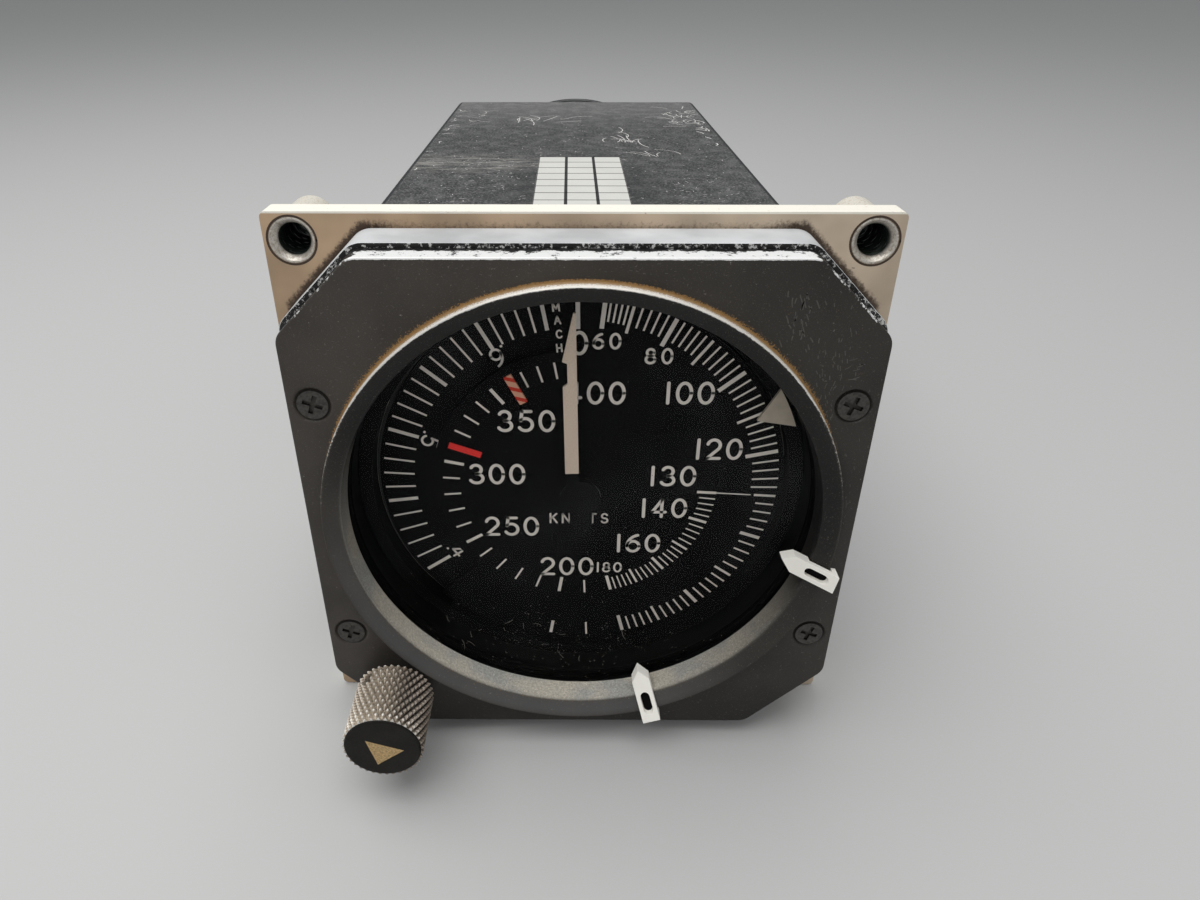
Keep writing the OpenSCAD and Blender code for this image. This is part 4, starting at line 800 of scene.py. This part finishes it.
# Each letter's width and strokes, for a height of 1
GLYPHS = {
    "0": (0.62, curve(arc(0.31, 0.5, 0.31, 0.5, 0, 360, 40))),
    "1": (0.12, line((0.06, 1), (0.06, 0))),
    "2": (0.6, curve(arc(0.3, 0.7, 0.29, 0.3, 165, -38), [(0.02, 0)]) + line((0.02, 0), (0.6, 0))),
    "3": (0.6, curve(arc(0.29, 0.755, 0.25, 0.245, 155, -90)) + curve(arc(0.29, 0.26, 0.31, 0.26, 90, -155))),
    "4": (0.64, line((0.46, 0), (0.46, 1), (0, 0.27), (0.64, 0.27))),
    "5": (0.6, line((0.54, 1), (0.13, 1), (0.07, 0.53)) + curve(arc(0.28, 0.32, 0.32, 0.32, 132, -150))),
    "6": (0.6, curve(arc(0.62, 0.31, 0.62, 0.69, 100, 180)) + curve(arc(0.3, 0.31, 0.3, 0.31, 0, 360, 32))),
    "7": (0.6, line((0, 1), (0.6, 1), (0.18, 0))),
    "8": (0.6, curve(arc(0.3, 0.75, 0.24, 0.25, 0, 360, 30)) + curve(arc(0.3, 0.26, 0.3, 0.26, 0, 360, 32))),
    "9": (0.6, curve(arc(-0.02, 0.69, 0.62, 0.69, -80, 0)) + curve(arc(0.3, 0.69, 0.3, 0.31, 0, 360, 32))),
    ".": (0.14, line((0.06, 0.02), (0.08, 0.02))),
    "K": (0.6, line((0, 0), (0, 1)) + line((0.56, 1), (0, 0.4)) + line((0.2, 0.6), (0.6, 0))),
    "N": (0.64, line((0, 0), (0, 1), (0.64, 0), (0.64, 1))),
    "O": (0.76, curve(arc(0.38, 0.5, 0.38, 0.5, 0, 360, 36))),
    "T": (0.6, line((0, 1), (0.6, 1)) + line((0.3, 1), (0.3, 0))),
    "S": (0.56, curve(arc(0.28, 0.75, 0.25, 0.25, 25, 270), arc(0.28, 0.25, 0.28, 0.25, 90, -155))),
    "M": (0.76, line((0, 0), (0, 1), (0.38, 0.25), (0.76, 1), (0.76, 0))),
    "A": (0.7, line((0, 0), (0.35, 1), (0.7, 0)) + line((0.13, 0.35), (0.57, 0.35))),
    "C": (0.68, curve(arc(0.36, 0.5, 0.36, 0.5, 45, 315, 26))),
    "H": (0.6, line((0, 0), (0, 1)) + line((0.6, 0), (0.6, 1)) + line((0, 0.5), (0.6, 0.5))),
}


def ribbon(path, width):
    """Left and right edges of a flat ribbon along a path of (x, z): the path moved sideways by half the width along its
    normal, with both ends run out along half circles."""
    path = np.asarray(path, float)
    path = path[np.concatenate([[True], np.linalg.norm(np.diff(path, axis=0), axis=1) > 1e-6])]
    way = np.gradient(path, axis=0)
    way /= np.linalg.norm(way, axis=1, keepdims=True)
    phi = np.linspace(0, np.pi / 2, 5)[1:]
    head = path[0] - way[0] * (width / 2 * np.sin(phi[::-1]))[:, None]
    tail = path[-1] + way[-1] * (width / 2 * np.sin(phi))[:, None]
    middle = np.concatenate([head, path, tail])
    half = np.concatenate([np.cos(phi[::-1]), np.ones(len(path)), np.cos(phi)])[:, None] * width / 2
    heading = np.concatenate([np.repeat(way[:1], len(phi), 0), way, np.repeat(way[-1:], len(phi), 0)])
    normal = np.stack([-heading[:, 1], heading[:, 0]], -1)
    return np.stack([middle + normal * half, middle - normal * half], 1)


class Print:
    """Collects ribbons and bars on one level plane that faces the front or the top, and puts them into one mesh."""

    def __init__(self, level, top=False):
        self.level, self.top, self.points, self.faces, self.count = level, top, [], [], 0

    def strip(self, edges):
        """Adds one strip between two edges, given as pairs of points."""
        flat = np.asarray(edges, float).reshape(-1, 2)
        self.points.append(np.insert(flat, 2 if self.top else 1, self.level, axis=1))
        self.faces.append(grid_faces(len(edges), 2) + self.count)
        self.count += len(flat)

    def bars(self, angles, inner, outer, width):
        """Radial bars, one for each angle, as four-cornered strips."""
        given = (np.atleast_1d(np.asarray(v, float)) for v in (angles, inner, outer, width))
        a, r0, r1, w = np.broadcast_arrays(*given)
        side, middle = polar(1, a + 90) * (w / 2)[:, None], polar(1, a)
        low, high = middle * r0[:, None], middle * r1[:, None]
        for corners in np.stack([high - side, high + side, low - side, low + side], 1).reshape(-1, 2, 2, 2):
            self.strip(corners)

    def words(self, text, centre, height, stroke, turn=0, gap=0.2):
        """Stroke letters of one line, centred on a point and turned clockwise."""
        widths = np.array([GLYPHS[c][0] for c in text])
        starts = np.concatenate([[0], np.cumsum(widths + gap)[:-1]])
        total = starts[-1] + widths[-1]
        c, s = math.cos(math.radians(turn)), math.sin(math.radians(turn))
        for letter, start in zip(text, starts):
            for path in GLYPHS[letter][1]:
                x, z = ((path + (start - total / 2, -0.5)) * height).T
                self.strip(ribbon(np.stack([c * x + s * z, c * z - s * x], -1) + centre, stroke))

    def put(self, name, material, slot, body="housing"):
        """Makes the mesh, with every face turned to the front or the top."""
        points, faces = np.concatenate(self.points), np.concatenate(self.faces)
        mesh = put_mesh(name, points, faces, material, slot, body, smooth=False).data
        work = bmesh.new()
        work.from_mesh(mesh)
        turned = [f for f in work.faces if (f.normal.z < 0 if self.top else f.normal.y > 0)]
        bmesh.ops.reverse_faces(work, faces=turned)
        work.to_mesh(mesh)
        work.free()


# Angle of each scale value, clockwise from the top of the dial
SPEED_KNOTS = np.arange(60, 401, 10)
SPEED_TURN = [6, 13.7, 25.6, 37.3, 50.4, 64.3, 77.9, 93.3, 108.8, 125, 139.5, 153.2, 165.7, 177.5, 189.1, 199.75,
              210, 220, 229.8, 239.2, 248.2, 257.05, 265.6, 274, 282.1, 290, 297.5, 305.5, 313.4, 321.5, 328.6,
              335.6, 342.5, 349.3, 356]
MACH_VALUES = np.arange(35, 101, 5) / 100
MACH_TURN = [205, 235.7, 263.2, 288, 310.2, 330.5, 349.1, 366.3, 382.3, 397.3, 411.4, 424.7, 437.3, 449.3]


def speed_angle(knots):
    return np.interp(knots, SPEED_KNOTS, SPEED_TURN)


def speed_bars(marks, knots, main, ten_inner, inner, outer, widths):
    """Bars at a row of speeds. The widths are those of the main marks, the other tens and the rest."""
    tens = knots % 10 == 0
    wide, middle, thin = widths
    marks.bars(speed_angle(knots), np.where(tens, ten_inner, inner), outer,
               np.where(np.isin(knots, main), wide, np.where(tens, middle, thin)))


def print_dial():
    """Ticks, numbers and words of the airspeed dial, and its red bar."""
    marks = Print(DIAL_Y - 2 * PRINT_LIFT)
    knots = np.arange(60, 129, 2)
    ten_inner, inner = (np.interp(knots, [60, 130], ends) for ends in ([25.6, 24.9], [26.7, 25.8]))
    speed_bars(marks, knots, [60, 80, 100, 120], ten_inner, inner, OUTER_SCALE, (0.62, 0.42, 0.28))
    marks.bars(358.8, 25.4, OUTER_SCALE, 0.6)
    speed_bars(marks, np.arange(130, 181, 2), [140, 160, 180], 26.5, 27, OUTER_SCALE, (0.55, 0.4, 0.28))
    marks.bars(speed_angle([190, 200]), 27.2, OUTER_SCALE, [0.3, 0.5])
    marks.bars(speed_angle(130), 20.7, 26, 0.2)
    speed_bars(marks, np.arange(130, 180, 2), [130, 140, 160], 17.8, 18.3, INNER_SCALE, (0.45, 0.36, 0.22))
    knots = np.array([k for k in range(180, 401, 10) if k not in (310, 360)])
    thick = np.isin(knots, [180, 200, 250, 300, 350, 400])
    marks.bars(speed_angle(knots), np.where(thick, 17.8, 18.2), INNER_SCALE, np.where(thick, 0.5, 0.3))
    for text, x, z in (("100", 15.44, 15.7), ("120", 20.41, 6.51), ("130", 13.94, 1.79), ("140", 12.93, -4.03),
                       ("160", 9.23, -10.72), ("200", -1.99, -15.36), ("250", -10.59, -7.52), ("300", -12.54, 2.05),
                       ("350", -7.96, 11.12), ("400", 1.98, 15.67), ("0", -0.35, 23.32)):
        marks.words(text, (x, z), 3.15, 0.5, gap=0.36)
    marks.words("60", (3.45, 23.62), 2.1, 0.38, gap=0.5)
    marks.words("80", (10.72, 21.4), 2.1, 0.38, gap=0.5)
    marks.words("180", (4.78, -15.53), 1.75, 0.32, gap=0.42)
    marks.words("KNOTS", (-0.14, -5.95), 1.65, 0.3, gap=0.55)
    for letter, x, z in zip("MACH", (-3.55, -3.35, -3.1, -3.1), (28.54, 26.69, 24.65, 22.59)):
        marks.words(letter, (x, z), 1.08, 0.24, turn=-5)
    marks.put("dial_print", print_white, "hand_paint")
    red = Print(DIAL_Y - 3 * PRINT_LIFT)
    red.bars(290, 15.7, 20.7, 1.05)
    red.put("red_limit_bar", print_red, "limit_paint")


def print_mach_disc():
    """Ticks and numbers of the Mach disc."""
    marks = Print(MACH_Y - 2 * PRINT_LIFT)
    mach = np.round(np.arange(0.4, 1.001, 0.01), 2)
    fives = np.isclose(mach * 20, np.round(mach * 20))
    marks.bars(np.interp(mach, MACH_VALUES, MACH_TURN), 25.2, OUTER_SCALE, np.where(fives, 0.55, 0.3))
    for text, angle, r, turn in ((".4", 236.7, 23.4, 56), (".5", 288.4, 23.4, 108), (".6", 331.2, 23.8, 150),
                                 (".7", 366.3, 23.6, 186), (".8", 397.3, 23.6, 217), (".9", 424.7, 23.6, 245),
                                 ("1.0", 449.3, 23.4, 269)):
        marks.words(text, polar(r, angle), 2.5, 0.36, turn=turn, gap=0.16)
    marks.put("mach_print", print_white, "hand_paint", "mach_scale")


print_dial()
print_mach_disc()


# Sticker on the case: plain ruled columns and rows

def rule_sticker():
    """Flat bars on the sticker, each a rectangle given by its middle and half sizes."""
    x0, x1, y0, y1, z = -7.9, 8.5, 26.2, 71.2, CASE_HALF + 0.16
    wide, long = x1 - x0, y1 - y0
    columns = [(x0 + wide * share, (y0 + y1) / 2, half, long / 2)
               for share, half in ((0.335, 0.28), (0.665, 0.28), (0.005, 0.06), (0.995, 0.06))]
    rows = [((x0 + x1) / 2, y, wide / 2, 0.16) for y in np.arange(y1 - 0.1, y0, -5.1)]
    boxes = np.array(columns + rows)
    corner = np.array([(-1, -1), (1, -1), (1, 1), (-1, 1)])
    x, y = (boxes[:, k:k + 1] + boxes[:, k + 2:k + 3] * corner[:, k] for k in (0, 1))
    points = np.stack([x, y, np.full_like(x, z)], -1).reshape(-1, 3)
    faces = np.arange(len(points)).reshape(-1, 4)
    put_mesh("sticker_lines", points, faces, label_ink, "label_white", smooth=False)


rule_sticker()


# Scratches and dust

def stray_lines(seed, count, centre, spread, length, heading=0, wobble=180, bend=90):
    """Short curved paths scattered round a point: each starts at centre + spread g, with g from a normal spread, runs
    off at its own heading and turns evenly by its own bend."""
    rng = np.random.default_rng(seed)
    start = np.asarray(centre) + rng.normal(size=(count, 2)) * spread
    way = np.radians(heading + wobble * rng.uniform(-1, 1, count))
    turn = np.radians(bend * rng.uniform(-1, 1, count))
    size = length * rng.uniform(0.4, 1, count)
    angle = way[:, None] + turn[:, None] * np.linspace(0, 1, 9)
    step = size[:, None, None] / 9 * np.stack([np.cos(angle), np.sin(angle)], -1)
    return start[:, None] + np.cumsum(step, axis=1)


def scatter(marks, paths, width, keep):
    """Puts the paths that pass a test on to a print."""
    for path in paths:
        if keep(path):
            marks.strip(ribbon(path, width))


def lies_on_case(path):
    return np.abs(path[:, 0]).max() < CASE_HALF - 2 and path[:, 1].max() < CASE_LEN - 1


def lies_on_face(path):
    clear = min(np.hypot(*(path - screw).T).min() for screw in SCREWS) > 2.7
    return clear and np.hypot(*path.T).min() > RING_R + 0.4 and np.abs(path[:, 0]).max() < BEZEL_W / 2 - 1.5


def lies_on_glass(path):
    return np.hypot(*path.T).max() < WINDOW_R - 0.2


def scratch_case():
    """Curled scratches on the case's top, in the places where it was knocked."""
    marks = Print(CASE_HALF + PRINT_LIFT, top=True)
    for seed, count, centre, spread, length, width, wobble in (
            (1, 8, (-12, 114), (3.5, 3.5), 13, 0.2, 45), (2, 3, (-5, 120), (2, 2), 9, 0.22, 90),
            (3, 12, (11, 89), (2.4, 3), 11, 0.2, 40), (4, 5, (18, 72), (2, 3), 9, 0.16, 40),
            (5, 34, (27, 124), (2.2, 8), 7, 0.2, 70), (6, 16, (31, 100), (0.6, 9), 5, 0.3, 50),
            (7, 16, (-25, 122), (4, 7), 5, 0.15, 90), (8, 26, (-31.3, 104), (0.5, 20), 3.5, 0.22, 60),
            (9, 26, (-20, 66), (7, 3), 2, 0.07, 90), (10, 160, (3, 90), (16, 30), 1.2, 0.09, 90),
            (11, 90, (-18, 55), (8, 14), 0.9, 0.1, 90), (12, 60, (20, 44), (6, 8), 0.8, 0.09, 90)):
        scatter(marks, stray_lines(seed, count, centre, spread, length, 90, wobble), width, lies_on_case)
    marks.put("case_scratches", scratch_white, "label_white")


def scuff_cover():
    """Rubbed streaks on the cover's face: most beside the ring's upper right, with specks above it and to its left."""
    marks = Print(FACE_Y - PRINT_LIFT)
    for seed, count, centre, spread, length, heading, width in (
            (21, 34, (26.6, 30.5), (1.2, 2), 1.3, 100, 0.16), (22, 90, (31.2, 20), (1.5, 5), 0.7, 100, 0.12),
            (23, 8, (33.5, 24.6), (1.2, 0.7), 1.2, 5, 0.12), (24, 36, (0, 37.3), (16, 0.4), 0.4, 0, 0.08),
            (25, 40, (-30, 25), (3, 4), 0.4, 0, 0.08), (26, 60, (36.9, 4), (0.35, 7), 0.5, 90, 0.09)):
        scatter(marks, stray_lines(seed, count, centre, spread, length, heading, 22, 25), width, lies_on_face)
    marks.put("cover_scuffs", scuff_grey, "black_paint")


def dust_glass():
    """Specks and a few hairs on the glass, thicker toward the bottom."""
    marks = Print(GLASS_Y - PRINT_LIFT)
    for seed, count, centre, spread, length, width in (
            (31, 190, (-4, -25), (13, 4.5), 0.2, 0.085), (32, 70, (0, -8), (15, 12), 0.15, 0.06),
            (33, 12, (-8, -23), (8, 4), 2.6, 0.06)):
        scatter(marks, stray_lines(seed, count, centre, spread, length), width, lies_on_glass)
    marks.put("glass_dust", dust_grey, "label_white")


def ring_nuts():
    """A dark brown ring on the flange round each mounting nut: the seam, and a painted shadow at the edge of the
    flange's hole.
    """
    marks = Print(-PRINT_LIFT)
    circle = arc(0, 0, NUT_SLEEVE + 0.13, NUT_SLEEVE + 0.13, 0, 360, 49)
    for centre in NUT_CENTRES:
        marks.strip(ribbon(circle + centre, 0.28))
    marks.put("nut_seam_shadows", seam_shadow_brown, "flange_paint")


scratch_case()
scuff_cover()
dust_glass()
ring_nuts()


# Studio

def make_floor():
    """A wide plane that the flange's lower edge and the rear of the case both rest on."""
    reach, height = 2500, -41.3
    slope = (FLANGE_HALF - CASE_HALF) / (CASE_LEN - FLANGE_T)
    x, y = np.array([-reach, reach, reach, -reach]), np.array([-reach, -reach, reach, reach])
    z = height + (y - FLANGE_T) * slope
    mesh = bpy.data.meshes.new("floor")
    mesh.from_pydata((np.column_stack([x, y, z]) * MM).tolist(), [], [(0, 1, 2, 3)])
    mesh.materials.append(Finish("pale_floor", (0.54, 0.54, 0.53, 1), 0.85).material)
    floor = bpy.data.objects.new("floor", mesh)
    scene.collection.objects.link(floor)


def make_lights():
    """Even light from all round, and two soft lamps that face the origin."""
    world = bpy.data.worlds.new("studio")
    scene.world = world
    world.use_nodes = True
    sky = world.node_tree.nodes["Background"].inputs
    sky["Color"].default_value, sky["Strength"].default_value = (0.96, 0.98, 1, 1), 0.35
    for name, place, size, power in (("overhead", (-0.12, -0.03, 0.6), 0.7, 4),
                                     ("front_fill", (-0.25, -0.55, 0.45), 0.5, 0.6)):
        lamp = bpy.data.lights.new(name, "AREA")
        lamp.energy, lamp.size = power, size
        made = bpy.data.objects.new(name, lamp)
        scene.collection.objects.link(made)
        made.location = place
        made.rotation_euler = (-Vector(place)).to_track_quat("-Z", "Y").to_euler()


def make_camera():
    """The photograph's view, with its focal length and centre in pixels of a frame that is 1200 wide."""
    width, focal, centre_x, pitch, turn = 1200, 833.858, 564.631, 30.324, 0.338
    lens = bpy.data.cameras.new("camera")
    lens.sensor_width, lens.lens = 36, 36 * focal / width
    lens.shift_x = (width / 2 - centre_x) / width
    lens.clip_start, lens.clip_end = 0.005, 20
    camera = bpy.data.objects.new("camera", lens)
    scene.collection.objects.link(camera)
    camera.location = (-1.737 * MM, -106.267 * MM, 68.508 * MM)
    camera.rotation_euler = (math.radians(90 - pitch), 0, math.radians(turn))
    scene.camera = camera


make_floor()
make_lights()
make_camera()
